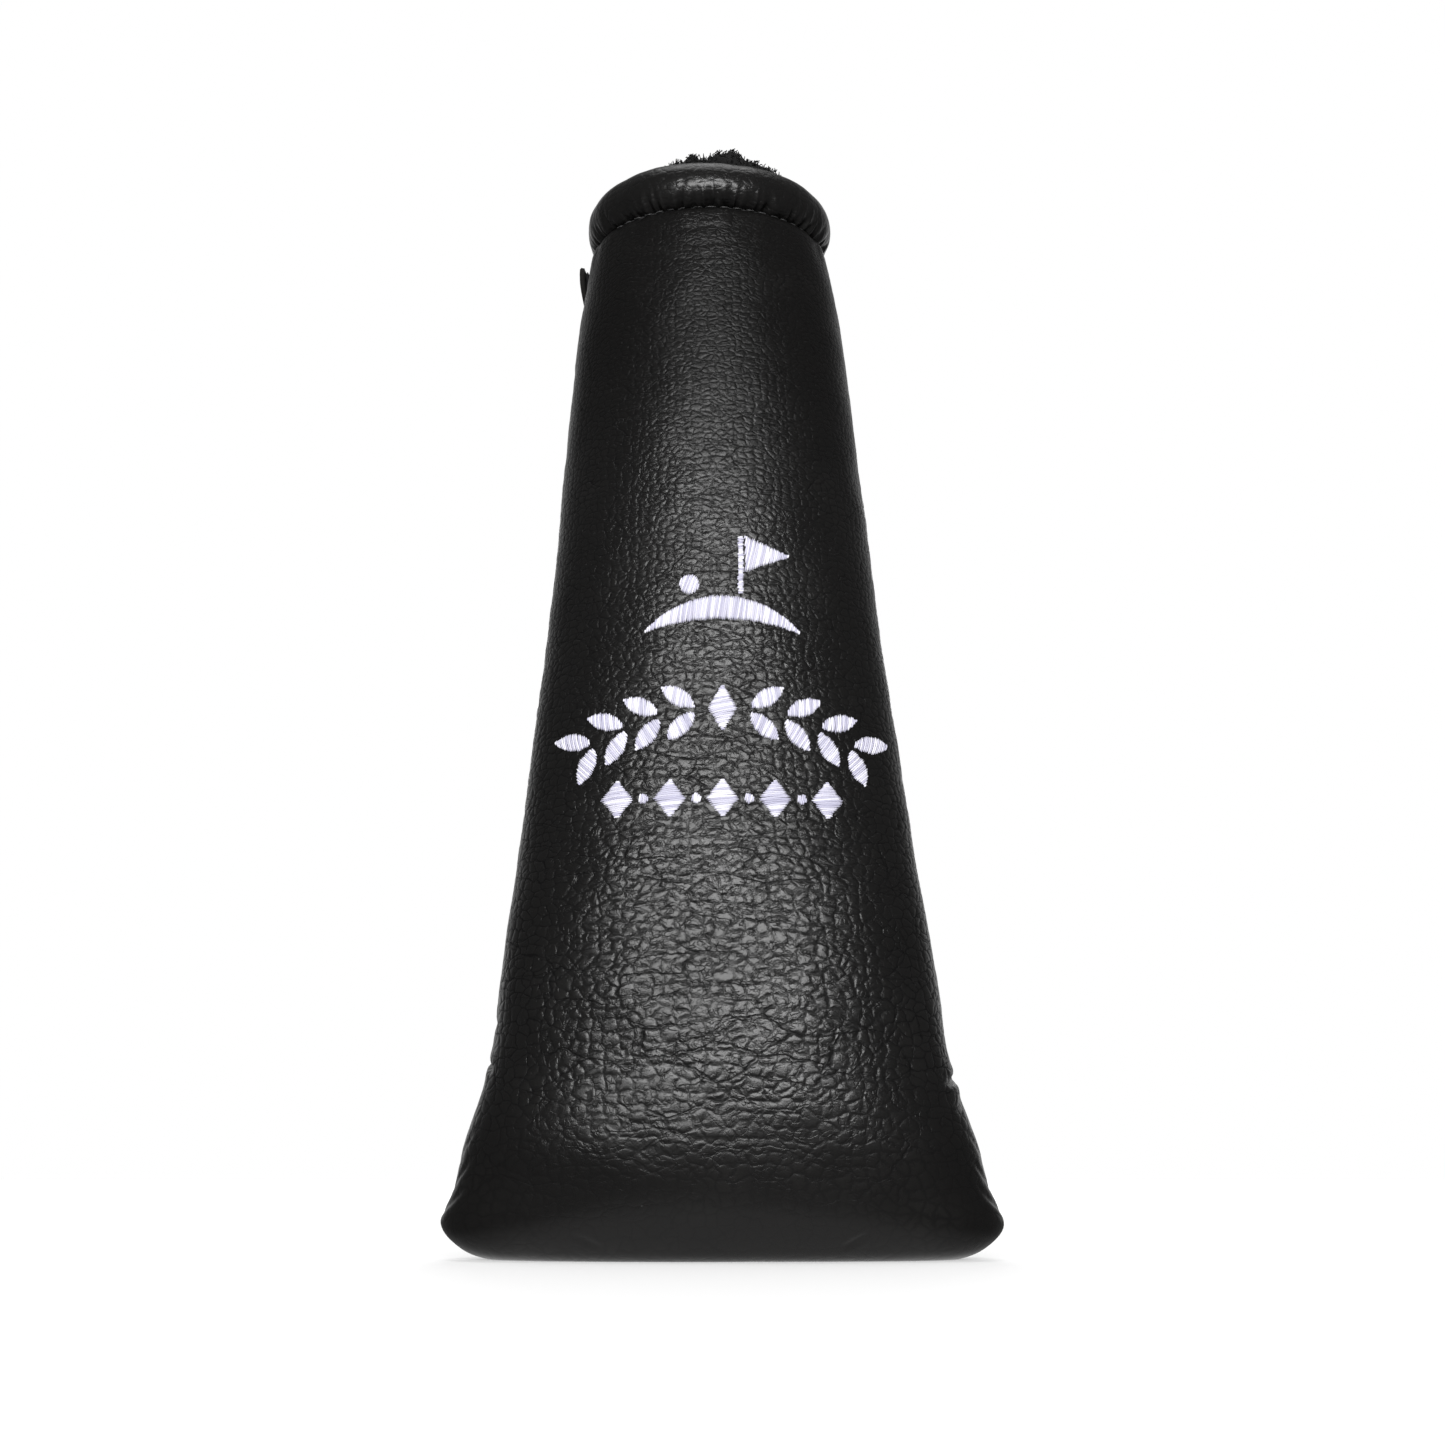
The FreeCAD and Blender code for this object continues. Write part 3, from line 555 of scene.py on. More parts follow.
def suede_material():
    """The flesh side and the cut edges of the leather."""
    material, graph = new_material("leather_flesh_side")
    fibres = graph.noise(graph.place(), 2600.0, 4.0, 0.7)
    tone = graph.mix(fibres, grey(0.006), (0.020, 0.019, 0.018, 1))
    normal = graph.bump(fibres, 0.0002)
    graph.surface(Base_Color=tone, Normal=normal, Roughness=0.9, Specular_IOR_Level=0.2)
    return material


def raise_grain(made, place, depth, amount):
    """Keep the grain's place and depth for each outer point, none on the flesh side, and lift
    its pebbles out of the mesh by an amount."""
    hidden = len(made.data.vertices) - depth.size
    place = np.concatenate([place.reshape(-1, 3), np.zeros((hidden, 3))])
    store(made, "grain", place, "FLOAT_VECTOR")
    store(made, "grain_depth", np.concatenate([depth.ravel(), np.zeros(hidden)]))
    tree = bpy.data.node_groups.new("raise_grain", "GeometryNodeTree")
    for way in ("INPUT", "OUTPUT"):
        tree.interface.new_socket("Geometry", in_out=way, socket_type="NodeSocketGeometry")
    graph = Graph(tree)
    source = graph.add("NodeGroupInput").outputs[0]
    kind = "GeometryNodeInputNamedAttribute"
    spot = graph.add(kind, {"Name": "grain"}, data_type="FLOAT_VECTOR").outputs[0]
    share = graph.add(kind, {"Name": "grain_depth"}, data_type="FLOAT").outputs[0]
    pebbles, _ = grain_nodes(graph, spot)
    height = graph.times(graph.minus(pebbles, 0.7), amount, share)
    normal = graph.add("GeometryNodeInputNormal").outputs[0]
    offset = graph.add("ShaderNodeVectorMath", {0: normal, "Scale": height}, operation="SCALE")
    moved = graph.add("GeometryNodeSetPosition", {"Geometry": source, "Offset": offset.outputs[0]})
    graph.add("NodeGroupOutput", {0: moved.outputs[0]})
    made.modifiers.new("grain", "NODES").node_group = tree
    bake_modifiers(made)


def bake_modifiers(made):
    """Replace the mesh by what its modifiers make of it."""
    graph = bpy.context.evaluated_depsgraph_get()
    graph.update()
    mesh = bpy.data.meshes.new_from_object(made.evaluated_get(graph))
    made.modifiers.clear()
    made.data = mesh


def surface_of(*pieces):
    """The surface of some mesh objects together, for casting rays at."""
    points, faces = [], []
    for made in pieces:
        first = len(points)
        points += [v.co.copy() for v in made.data.vertices]
        faces += [[first + i for i in p.vertices] for p in made.data.polygons]
    return BVHTree.FromPolygons(points, faces)


# ---------------------------------------------------------------- leather panels


def grain_place(arcs, slants, seed):
    """Grain coordinates in cells: about 3 mm on the foot, finer and flatter up the neck."""
    rows = np.linspace(0, OUTER.length, 200)
    height = OUTER.height(rows)
    wide = np.interp(height, [0.0, 0.05, 0.09, 0.15, 0.25], [3.3, 3.2, 2.9, 2.3, 1.9]) * MM
    tall = np.interp(height, [0.0, 0.05, 0.09, 0.15, 0.25], [2.9, 2.6, 2.1, 1.7, 1.1]) * MM
    climbed = np.concatenate([[0], np.cumsum(np.diff(rows) / tall[1:])])
    across = arcs / np.interp(slants, rows, wide)[:, None]
    up = np.broadcast_to(np.interp(slants, rows, climbed)[:, None], across.shape)
    offset = 37.0 * seed
    return np.stack([across + offset, up + offset, np.zeros_like(across)], -1)


def grain_strength(height):
    """How deep the grain is at a height: fullest on the foot."""
    return np.interp(height, [0.0, 0.015, 0.035, 0.05, 0.12, 0.25], [0.15, 0.3, 0.8, 1.0, 0.9, 0.55])


def wrinkle(across, up, start, end, width, depth, bow):
    """A crease between two places of a panel, both in mm as (arc length, height), with a
    slight lip on each side. It fades at its ends and may bow to one side."""
    start, end = np.array(start) * MM, np.array(end) * MM
    line = end - start
    length = np.hypot(*line)
    share = ((across - start[0]) * line[0] + (up - start[1]) * line[1]) / length**2
    side = ((across - start[0]) * line[1] - (up - start[1]) * line[0]) / length
    side = side - bow * MM * 4 * share * (1 - share)
    fade = ease(share, 0.0, 0.35) * (1 - ease(share, 0.65, 1.0))
    return (0.35 * bump_of(side, 2.4 * width * MM) - bump_of(side, width * MM)) * fade * depth * MM


def edge_roll(distance, radius, depth):
    """How far leather turns in at a seam: a round shoulder of a given radius."""
    share = np.clip(1 - distance / radius, 0, 1)
    return depth * (1 - np.sqrt(1 - share**2))


def leather_panel(node, start, end, columns, seed, slit_side, folds):
    """One piece of the outer leather, puffed by its padding, with turned seams and wrinkles."""
    slants = np.linspace(0.15 * MM, OUTER.length, PANEL_ROWS)
    heights = OUTER.height(slants)
    side_trim = np.full(PANEL_ROWS, SEAM_TRIM)
    back_trim = np.where(heights > SLIT_BOTTOM, SLIT_TRIM, SEAM_TRIM)
    trim_start = back_trim if slit_side == "start" else side_trim
    trim_end = back_trim if slit_side == "end" else side_trim
    grid, arcs = patch(OUTER, slants, start, end, columns, trim_start, trim_end)
    # The front is measured from its middle, and the backs from the slit.
    origin = {"start": 0.0, "end": 1.0, None: 0.5}[slit_side]
    across = arcs - (arcs[:, -1:] + arcs[:, :1]) * origin
    up = np.broadcast_to(heights[:, None], arcs.shape)
    bottom = slants[:, None]
    top = OUTER.length - bottom
    edges = {"start": arcs - arcs[:, :1], "end": arcs[:, -1:] - arcs}
    moved = np.zeros(arcs.shape)
    for side, distance in edges.items():
        seam = SEAM_PINCH * np.ones((PANEL_ROWS, 1))
        if side == slit_side:
            seam = np.where(heights[:, None] > SLIT_BOTTOM, 0.9 * MM, 1.1 * MM)
        moved -= edge_roll(distance, 2.6 * MM, seam)
        pucker = soft_noise(grid, np.array([9.0, 9.0, 2.3]) * MM, seed + 5)
        moved += 0.16 * MM * pucker * bump_of(distance, 4.0 * MM)
    moved = moved - edge_roll(top, 3.2 * MM, 1.9 * MM)
    moved = moved - edge_roll(bottom, 1.6 * MM, -0.35 * MM)
    angle = np.arctan2(grid[..., 1], grid[..., 0] - middle_x(grid[..., 2]))
    gather = np.stack([angle * 9.0, up * 60.0, np.zeros_like(up)], -1)
    moved += 0.30 * MM * soft_noise(gather, 1.0, seed + 9) * bump_of(top, 7.0 * MM)
    lumps = 0.42 * soft_noise(grid, 21.0 * MM, seed + 1) + 0.16 * soft_noise(grid, 8.5 * MM, seed + 2)
    calm = ease(bottom, 16 * MM, 40 * MM)
    moved += lumps * MM * (0.35 + 0.65 * calm)
    for fold in folds:
        moved += wrinkle(across, up, *fold)
    outer = grid + grid_normals(grid) * moved[..., None]
    outer[..., 2] = np.maximum(outer[..., 2], 0.1 * MM)
    inner = outer - grid_normals(outer) * LEATHER
    made = closed_sheet(node + "_leather", outer, inner, 4, [leather, flesh_side])
    depth = grain_strength(up) * ease(np.minimum(edges["start"], edges["end"]), 0.3 * MM, 2.4 * MM)
    raise_grain(made, grain_place(across, slants, seed), depth, 0.06 * MM)
    belongs(made, "root", "black_leather", node)
    return made


# Creases of the front panel, in mm: from and to as (arc length from the middle, height), then
# the width, the depth and the bow.
NOTCHES = [
    ((-70.0, LEFT_NOTCH), (-56.0, 42.0), 1.1, 1.5, 0.6),
    ((-68.0, 52.0), (-58.0, 55.0), 1.6, 0.5, -0.4),
    ((70.0, RIGHT_NOTCH), (54.0, 39.5), 1.2, 1.7, -0.6),
    ((68.0, 36.0), (57.0, 33.0), 1.5, 0.5, 0.4),
]
SMALL_CREASES = [
    ((26.0, 3.0), (33.0, 6.5), 0.7, 0.55, 0.2),
    ((-34.0, 6.5), (-26.0, 3.0), 0.7, 0.40, 0.2),
    ((-11.0, 243.0), (9.0, 244.0), 0.7, 0.22, -0.6),
    ((-7.0, 240.0), (11.0, 240.6), 0.6, 0.18, 0.5),
    ((-12.0, 236.0), (6.0, 237.5), 0.6, 0.16, 0.6),
    ((14.0, 244.0), (30.0, 233.0), 0.7, 0.22, 0.6),
    ((17.0, 239.0), (33.0, 226.0), 0.6, 0.18, 0.6),
    ((-30.0, 236.0), (-16.0, 244.0), 0.7, 0.16, 0.4),
]


def corner_creases():
    """Three creases that rise from each lower corner of the foot, the same on both sides."""
    made = []
    for side in (-1, 1):
        bow = -0.5 * side
        made.append(((76.0 * side, 9.0), (60.0 * side, 17.0), 0.9, 0.45, bow))
        made.append(((74.0 * side, 14.0), (58.0 * side, 24.0), 0.8, 0.40, bow))
        made.append(((72.0 * side, 20.0), (58.0 * side, 31.0), 0.8, 0.30, 0.8 * bow))
    return made


def foot_creases():
    """Long shallow creases that hang across the lit face of the foot, each concave upwards."""
    random = np.random.default_rng(11)
    count, low, span = 26, 30, 62
    made = []
    for number in range(count):
        height = low + span * (number + random.uniform(-0.4, 0.4)) / count
        left = random.uniform(-46, 8)
        right = left + random.uniform(20, 44)
        fall = random.uniform(-2.5, 2.5)
        bow = random.uniform(1.0, 3.0)
        made.append(((left, height), (right, height + fall), 0.45, random.uniform(0.10, 0.22), bow))
    return made


def neck_wrinkles():
    """Fine slanting lines over the neck, where the leather is pulled round."""
    random = np.random.default_rng(12)
    count, low, span = 40, 170, 72
    made = []
    for number in range(count):
        height = low + span * number / count
        left = random.uniform(-36, 22)
        right = left + random.uniform(7, 16)
        slope = random.uniform(-3.5, 0.5) if left > -4 else random.uniform(-0.5, 2.5)
        made.append(((left, height), (right, height + slope), 0.4, random.uniform(0.05, 0.11), 0.3))
    return made


# ---------------------------------------------------------------- the collar


def signed(angle):
    """The same angle between half a turn back and half a turn on."""
    return np.angle(np.exp(1j * angle))


def tube_place(turns, rolls, wide, tall):
    """A place for noise round the roll, without a jump where its turns begin again."""
    return np.stack([np.sin(turns) * wide, np.cos(turns) * wide, rolls * tall], -1)


def collar_swell(turns, rolls):
    """How far the roll swells out or is gathered in, in mm, at turns round the mouth."""
    front = np.clip(-np.cos(turns), 0, 1)
    gather = -np.abs(soft_noise(tube_place(turns, rolls, 16.0, 0.5), 1.0, 31))
    under = bump_of(signed(rolls - math.radians(115)), 0.75)
    ring = tube_place(turns, rolls, 7.0, 0.7)
    swell = 0.28 * soft_noise(ring, 2.2, 32) + 0.12 * soft_noise(ring, 0.8, 33)
    swell = swell + under * gather * (0.55 + 0.5 * front)
    low = signed(rolls - math.radians(105))
    first, last = turns[0, 0], turns[-1, 0]
    pucker = np.zeros_like(turns)
    random = np.random.default_rng(34)
    for number in range(PUCKERS):
        centre = first + (last - first) * (number + random.uniform(-0.35, 0.35)) / PUCKERS
        lean = random.uniform(-0.25, 0.25)
        width = random.uniform(0.018, 0.032)
        depth = random.uniform(0.15, 0.55)
        reach = random.uniform(0.45, 0.85)
        line = turns - centre - lean * low * 0.25
        pucker -= (depth + 0.15) * bump_of(line, width) * bump_of(low, reach)
    return swell + pucker


def collar_roll():
    """The padded roll round the mouth: an oval tube, gathered where it is sewn to the neck."""
    turns, rolls = open_ring(3.2, 760, 76)
    from_end = np.minimum(turns - turns[0], turns[-1] - turns) * ROLL_RADIUS
    closing = np.sqrt(np.clip(1 - (1 - np.clip(from_end / (3.4 * MM), 0, 1)) ** 2, 0, 1))
    closing = np.maximum(closing, 0.04)
    swell = collar_swell(turns, rolls) * MM
    rise = -np.sin(rolls) * (ROLL_HALF_HEIGHT + swell) * closing
    # Its underside is pressed down on the neck, so that no gap shows in the seam.
    rise = np.where(rise < 0, 1.10 * rise, rise)
    lift = 0.35 * soft_noise(tube_place(turns, rolls, 1.0, 0.0), 0.55, 35) * MM
    radius = ROLL_RADIUS - np.cos(rolls) * (ROLL_HALF_WIDTH + swell) * closing
    grid = round_grid(turns, radius, ROLL_MIDDLE + rise + lift)
    made = open_tube("collar_roll_leather", grid, leather)
    across = turns * ROLL_RADIUS / (2.0 * MM)
    place = np.stack([across, rolls * ROLL_HALF_HEIGHT / (1.7 * MM), turns * 0], -1)
    raise_grain(made, place, 0.35 * np.ones_like(turns), 0.05 * MM)
    belongs(made, "root", "black_leather", "collar_cover")


# ---------------------------------------------------------------- embroidery


def thread_material(name, dark, light, rough, sheen):
    """Thread or plastic fibre: painted shade at its ends, and each stitch of a slightly different
    tone.
    """
    material, graph = new_material(name)
    _, along = graph.kept("along")
    _, tone = graph.kept("tone")
    fibres = graph.noise(graph.place(), 5200.0, 3.0, 0.6)
    ends = graph.remap(graph.math("ABSOLUTE", graph.minus(along, 0.5)), 0.36, 0.5)
    shade = graph.times(graph.plus(fibres, tone), 0.5)
    colour = graph.mix(graph.remap(shade, 0.2, 0.8), dark, light)
    # Painted shade: each stitch darkens towards both its ends, where it goes down into its hole.
    colour = graph.mix(graph.times(ends, 0.35), colour, dark)
    look = dict(Roughness=rough, Specular_IOR_Level=0.5, Sheen_Weight=sheen)
    graph.surface(Base_Color=colour, Normal=graph.bump(fibres, 0.00008), **look)
    return material


def arc_points(start, middle, end, count=16):
    """Points along the arc through three points."""
    (ax, ay), (bx, by), (cx, cy) = start, middle, end
    double = 2 * (ax * (by - cy) + bx * (cy - ay) + cx * (ay - by))
    a2, b2, c2 = ax**2 + ay**2, bx**2 + by**2, cx**2 + cy**2
    ux = (a2 * (by - cy) + b2 * (cy - ay) + c2 * (ay - by)) / double
    uy = (a2 * (cx - bx) + b2 * (ax - cx) + c2 * (bx - ax)) / double
    radius = math.hypot(ax - ux, ay - uy)
    first = math.atan2(ay - uy, ax - ux)
    sweep_mid = (math.atan2(by - uy, bx - ux) - first) % (WHOLE_TURN)
    sweep = (math.atan2(cy - uy, cx - ux) - first) % (WHOLE_TURN)
    if sweep_mid > sweep:
        sweep -= WHOLE_TURN
    angles = first + sweep * np.linspace(0, 1, count)
    return [(ux + radius * math.cos(t), uy + radius * math.sin(t)) for t in angles]


def leaf(stalk, length, width, angle):
    """A leaf that points away from its stalk at an angle: two arcs that meet in a tip."""
    along = np.array([math.cos(angle), math.sin(angle)])
    across = np.array([-along[1], along[0]])
    tip = np.array(stalk) + length * along
    middle = np.array(stalk) + length / 2 * along
    one = arc_points(stalk, middle + width / 2 * across, tip)
    other = arc_points(tip, middle - width / 2 * across, stalk)
    return one + other[1:-1]


def lozenge(x, z, half_width, half_height):
    """A square stood on its corner and drawn out, from its left corner round."""
    return [(x - half_width, z), (x, z - half_height), (x + half_width, z), (x, z + half_height)]


def disc(x, z, radius):
    """A round dot."""
    angles = np.linspace(0, WHOLE_TURN, 24, endpoint=False)
    return [(x + radius * math.cos(t), z + radius * math.sin(t)) for t in angles]


def emblem_shapes():
    """A flag on its stick over a low mound, with a ball beside it. Each shape with the angle
    of its stitches, in mm and degrees."""
    foot, top, half = 143.0, 166.0, 18.5
    height = top - foot
    mound_top = foot + 0.36 * height
    mound = arc_points((-half, foot), (-0.05 * half, mound_top), (half, foot), 40)
    mound += arc_points((half, foot), (0.0, foot + 0.12 * height), (-half, foot), 40)[1:-1]
    left = 0.2 * half
    right = left + 1.1
    stick = [(left, mound_top + 0.8), (right, mound_top + 0.8), (right, top), (left, top)]
    hoist = right + 0.5
    low = foot + 0.62 * height
    pennant = [(hoist, low), (hoist + 0.58 * half, (low + top) / 2), (hoist, top)]
    ball = disc(-0.42 * half, mound_top + 2.9, 2.3)
    return [(mound, 82.0), (stick, 8.0), (pennant, 78.0), (ball, 70.0)]


def arch_shapes():
    """A spray of leaves in pairs along an arch, both ways from a lozenge at its crown."""
    crown, radius, pairs = 124.5, 62.0, 4
    first = math.radians(6.0)
    step = (math.radians(37.0) - first) / pairs
    shapes = [(lozenge(0.0, crown, 3.4, 5.6), 12.0)]
    for side in (1, -1):
        for number in range(pairs):
            turn = first + step * number
            for lift in (1, -1):
                reach = radius + 0.7 * lift
                x = side * reach * math.sin(turn)
                z = crown - radius + reach * math.cos(turn)
                heading = -turn + lift * math.radians(38.0)
                if side < 0:
                    heading = math.pi - heading
                stitch = math.degrees(heading) + 90 - side * lift * 22
                shapes.append((leaf((x, z), 9.0, 4.0, heading), stitch))
    return shapes


def row_shapes():
    """A straight row of lozenges with a dot between each two."""
    middle, half_height, half_width, count = 103.3, 4.6, 3.7, 5
    pitch = 2 * (28.0 - half_width) / (count - 1)
    shapes = []
    for number in range(count):
        x = (number - (count - 1) / 2) * pitch
        shapes.append((lozenge(x, middle, half_width, half_height), 6.0))
        if number < count - 1:
            shapes.append((disc(x + pitch / 2, middle, 1.1), 80.0))
    return shapes


def stitches_over(shape, angle, random):
    """Straight stitches side by side over a shape: pairs of ends, in mm, slightly uneven."""
    turned = math.radians(angle)
    cos, sin = math.cos(turned), math.sin(turned)
    corners = [(x * cos + z * sin, -x * sin + z * cos) for x, z in shape]
    low = min(v for _, v in corners)
    high = max(v for _, v in corners)
    found = []
    for line in np.arange(low + SATIN_PITCH * 0.3, high, SATIN_PITCH):
        crossings = []
        for (u0, v0), (u1, v1) in zip(corners, corners[1:] + corners[:1]):
            if (v0 <= line) != (v1 <= line):
                crossings.append(u0 + (line - v0) / (v1 - v0) * (u1 - u0))
        crossings.sort()
        for left, right in zip(crossings[::2], crossings[1::2]):
            left += random.uniform(-0.28, 0.06)
            right += random.uniform(-0.06, 0.28)
            if right - left > 0.5:
                tilt = random.uniform(-0.08, 0.08)
                ends = [(left, line - tilt), (right, line + tilt)]
                found.append([(u * cos - v * sin, u * sin + v * cos) for u, v in ends])
    return found


def embroider(node, shapes, surface, seed):
    """Satin stitches laid on the front panel, arched over the leather between their ends."""
    random = np.random.default_rng(seed)
    paths, normals = [], []
    share = np.linspace(0, 1, 9)
    for shape, angle in shapes:
        for (x0, z0), (x1, z1) in stitches_over(shape, angle, random):
            x = (x0 + (x1 - x0) * share) * MM
            z = (z0 + (z1 - z0) * share) * MM
            length = math.hypot(x1 - x0, z1 - z0)
            arch = (0.16 + 0.05 * min(length, 5.0)) * MM * np.sin(math.pi * share) ** 0.6
            lift = arch - 0.10 * MM + random.uniform(-0.03, 0.05) * MM
            path, normal = [], []
            for px, pz, up in zip(x, z, lift):
                hit, away, *_ = surface.ray_cast(Vector((px, -0.08, pz)), Vector((0, 1, 0)))
                path.append(list(hit + away * up))
                normal.append(list(away))
            paths.append(path)
            normals.append([np.mean(normal, axis=0)] * len(share))
    paths = np.array(paths)
    # Even out what the leather's pebbles do to a taut thread.
    paths[:, 1:-1] = (paths[:, :-2] + 2 * paths[:, 1:-1] + paths[:, 2:]) / 4
    name = node.replace("embroidery", "satin_stitches")
    made = tubes(name, paths, normals, *SATIN_THREAD, white_thread, sides=8)
    belongs(made, "root", "white_thread", node)


# ---------------------------------------------------------------- soft materials


def pile_material():
    """Black fleece: matt curly pile with a faint sheen at its edges."""
    material, graph = new_material("black_fleece_pile")
    place = graph.place()
    both = graph.times(graph.noise(place, 900.0, 4.0, 0.7), graph.noise(place, 260.0))
    tone = graph.mix(graph.remap(both, 0.1, 0.4), grey(0.002), grey(0.009))
    look = dict(Roughness=0.95, Specular_IOR_Level=0.12, Sheen_Weight=0.03)
    graph.surface(Base_Color=tone, Normal=graph.bump(both, 0.0010), **look)
    return material


def cloth_material(name, dark, light, pitch, relief, sheen=0.0):
    """A plain woven cloth, felt or tape: crossing threads of a given pitch under a soft fuzz."""
    material, graph = new_material(name)
    place = graph.place()
    parts = graph.parts(place)
    waves = WHOLE_TURN / pitch
    warp = graph.math("SINE", graph.times(parts["Z"], waves))
    weft = graph.math("SINE", graph.times(graph.plus(parts["X"], parts["Y"]), waves))
    fuzz = graph.noise(place, 1500.0, 3.0, 0.7)
    height = graph.plus(graph.times(warp, weft, 0.5), fuzz)
    # Partly painted shade: darker in the weave's hollows; the fuzz gives a random tone too.
    tone = graph.mix(graph.remap(height, 0.0, 1.2), dark, light)
    look = dict(Roughness=0.9, Specular_IOR_Level=0.2, Sheen_Weight=sheen)
    graph.surface(Base_Color=tone, Normal=graph.bump(height, relief), **look)
    return material


def foam_material():
    """Open foam sheet: charcoal, matt and full of small pores."""
    material, graph = new_material("charcoal_foam")
    pores = graph.cells(graph.place(), 1700.0, feature="F1", voronoi_dimensions="3D")
    pores = graph.remap(pores, 0.1, 0.6)
    # Painted shade: the pores are darker than the foam between them.
    tone = graph.mix(pores, grey(0.008), (0.030, 0.030, 0.031, 1))
    normal = graph.bump(pores, 0.0003)
    graph.surface(Base_Color=tone, Normal=normal, Roughness=0.95, Specular_IOR_Level=0.1)
    return material


# ---------------------------------------------------------------- padding, lining and backing


def lining_ovals(depth, mouth):
    """A surface of the lining, in mm: it follows the wall, then narrows up through the roll."""
    rim, depth, mouth = RIM / MM, depth / MM, mouth / MM
    made = []
    for height, width, deep in [OVALS[0]] + OVALS[UNDER_SOLE:-1]:
        narrower = depth + np.interp(height, [200.0, 224.0, 240.0], [0.0, 0.4, 1.5])
        raised = height + depth * (1 - height / rim)
        made.append((raised, width - narrower, max(deep - narrower, 0.2)))
    made.append((rim, mouth + 0.1, mouth))
    made.append((ROLL_TOP / MM - 0.6, mouth + 0.1, mouth))
    return made


def soft_layer(name, node, layers, start, end, material, slot, tufts=0.0, pinch=0.0):
    """One piece of padding or lining between two surfaces of the wall: the outer one may be
    pinched in at its seams, and the inner one may be tufted."""
    columns, rows = 61 if end - start > QUARTER * 1.5 else 33, 181
    grids = []
    for layer, seam_depth in zip(layers, (pinch, 0.0)):
        slants = np.linspace(0.2 * MM, layer.length, rows)
        seam = np.full(rows, 0.1 * MM)
        slit = np.where(layer.height(slants) > SLIT_BOTTOM, SLIT_TRIM, seam)
        trim_start = slit if start == HALF_TURN else seam
        trim_end = slit if end == HALF_TURN else seam
        grid, arcs = patch(layer, slants, start, end, columns, trim_start, trim_end)
        beside = np.minimum(arcs - arcs[:, :1], arcs[:, -1:] - arcs)
        depth = edge_roll(beside, 6 * MM, seam_depth)
        grids.append(grid - grid_normals(grid) * depth[..., None])
    outer, inner = grids
    if tufts:
        inner -= grid_normals(inner) * tufts * soft_noise(inner, 2.6 * MM, 41)[..., None]
    made = closed_sheet(name, outer, inner, 1, [material, material])
    belongs(made, "root", slot, node)
    return made


def wall_layers():
    """The padding and the fleece lining, each as a front piece and two back pieces."""
    padding = Layer(PADDING_OUT), Layer(PADDING_IN)
    throat = MOUTH_RADIUS - (FLEECE_IN - FLEECE_OUT)
    fleece = (
        Layer(0, lining_ovals(FLEECE_OUT, MOUTH_RADIUS)),
        Layer(0, lining_ovals(FLEECE_IN, throat)),
    )
    places = (
        ("front", "front_%s", -QUARTER, QUARTER, FRONT_FLAT, FRONT_AREA),
        ("back_right", "back_%s_right", QUARTER, HALF_TURN, BACK_FLAT, BACK_AREA),
        ("back_left", "back_%s_left", HALF_TURN, 3 * QUARTER, BACK_FLAT, BACK_AREA),
    )
    for place, node, start, end, flat, area in places:
        foam = soft_layer(
            place + "_padding_foam", node % "padding", padding, start, end,
            charcoal_foam, "foam_padding", pinch=SEAM_PINCH,
        )
        pile = soft_layer(
            place + "_fleece_lining", node % "lining", fleece, start, end,
            black_pile, "black_fleece", tufts=TUFTS,
        )


def backing_patch():
    """The stabiliser behind the embroidery, between the leather and the padding."""
    slants = OUTER.slant_at(np.linspace(BACKING_LOW, BACKING_HIGH, 41))
    width = np.arcsin(np.clip(BACKING_HALF_WIDTH / OUTER.width(slants), 0, 1))
    shares = np.linspace(-1, 1, 41)
    grid = OUTER.point(slants[:, None] + 0 * shares, width[:, None] * shares)
    inward = -grid_normals(grid)
    outer, inner = grid + inward * BACKING_OUT, grid + inward * BACKING_IN
    made = closed_sheet("embroidery_backing_felt", outer, inner, 1, [white_felt, white_felt])
    belongs(made, "root", "stabiliser", "embroidery_backing")


def collar_core():
    """The foam cord that fills the roll."""
    turns, rolls = open_ring(6, 200, 28)
    radius = ROLL_RADIUS - np.cos(rolls) * (ROLL_HALF_WIDTH - 2.3 * MM)
    z = ROLL_MIDDLE - np.sin(rolls) * (ROLL_HALF_HEIGHT - 2.3 * MM)
    made = open_tube("collar_core_foam", round_grid(turns, radius, z), charcoal_foam)
    belongs(made, "root", "foam_padding", "collar_core")


def rim_rise(turn):
    """How far the fleece wells up over the roll at a turn round the mouth, from 0 to 1: only at
    the front, and most to the right of its middle."""
    places = [-1.25, -1.0, -0.75, -0.5, -0.25, -0.08, 0.2, 0.45, 0.75, 1.0]
    rises = [0.0, 0.25, 0.62, 0.92, 1.0, 1.0, 0.74, 0.52, 0.28, 0.0]
    return np.interp(turn - HALF_TURN, places, rises)


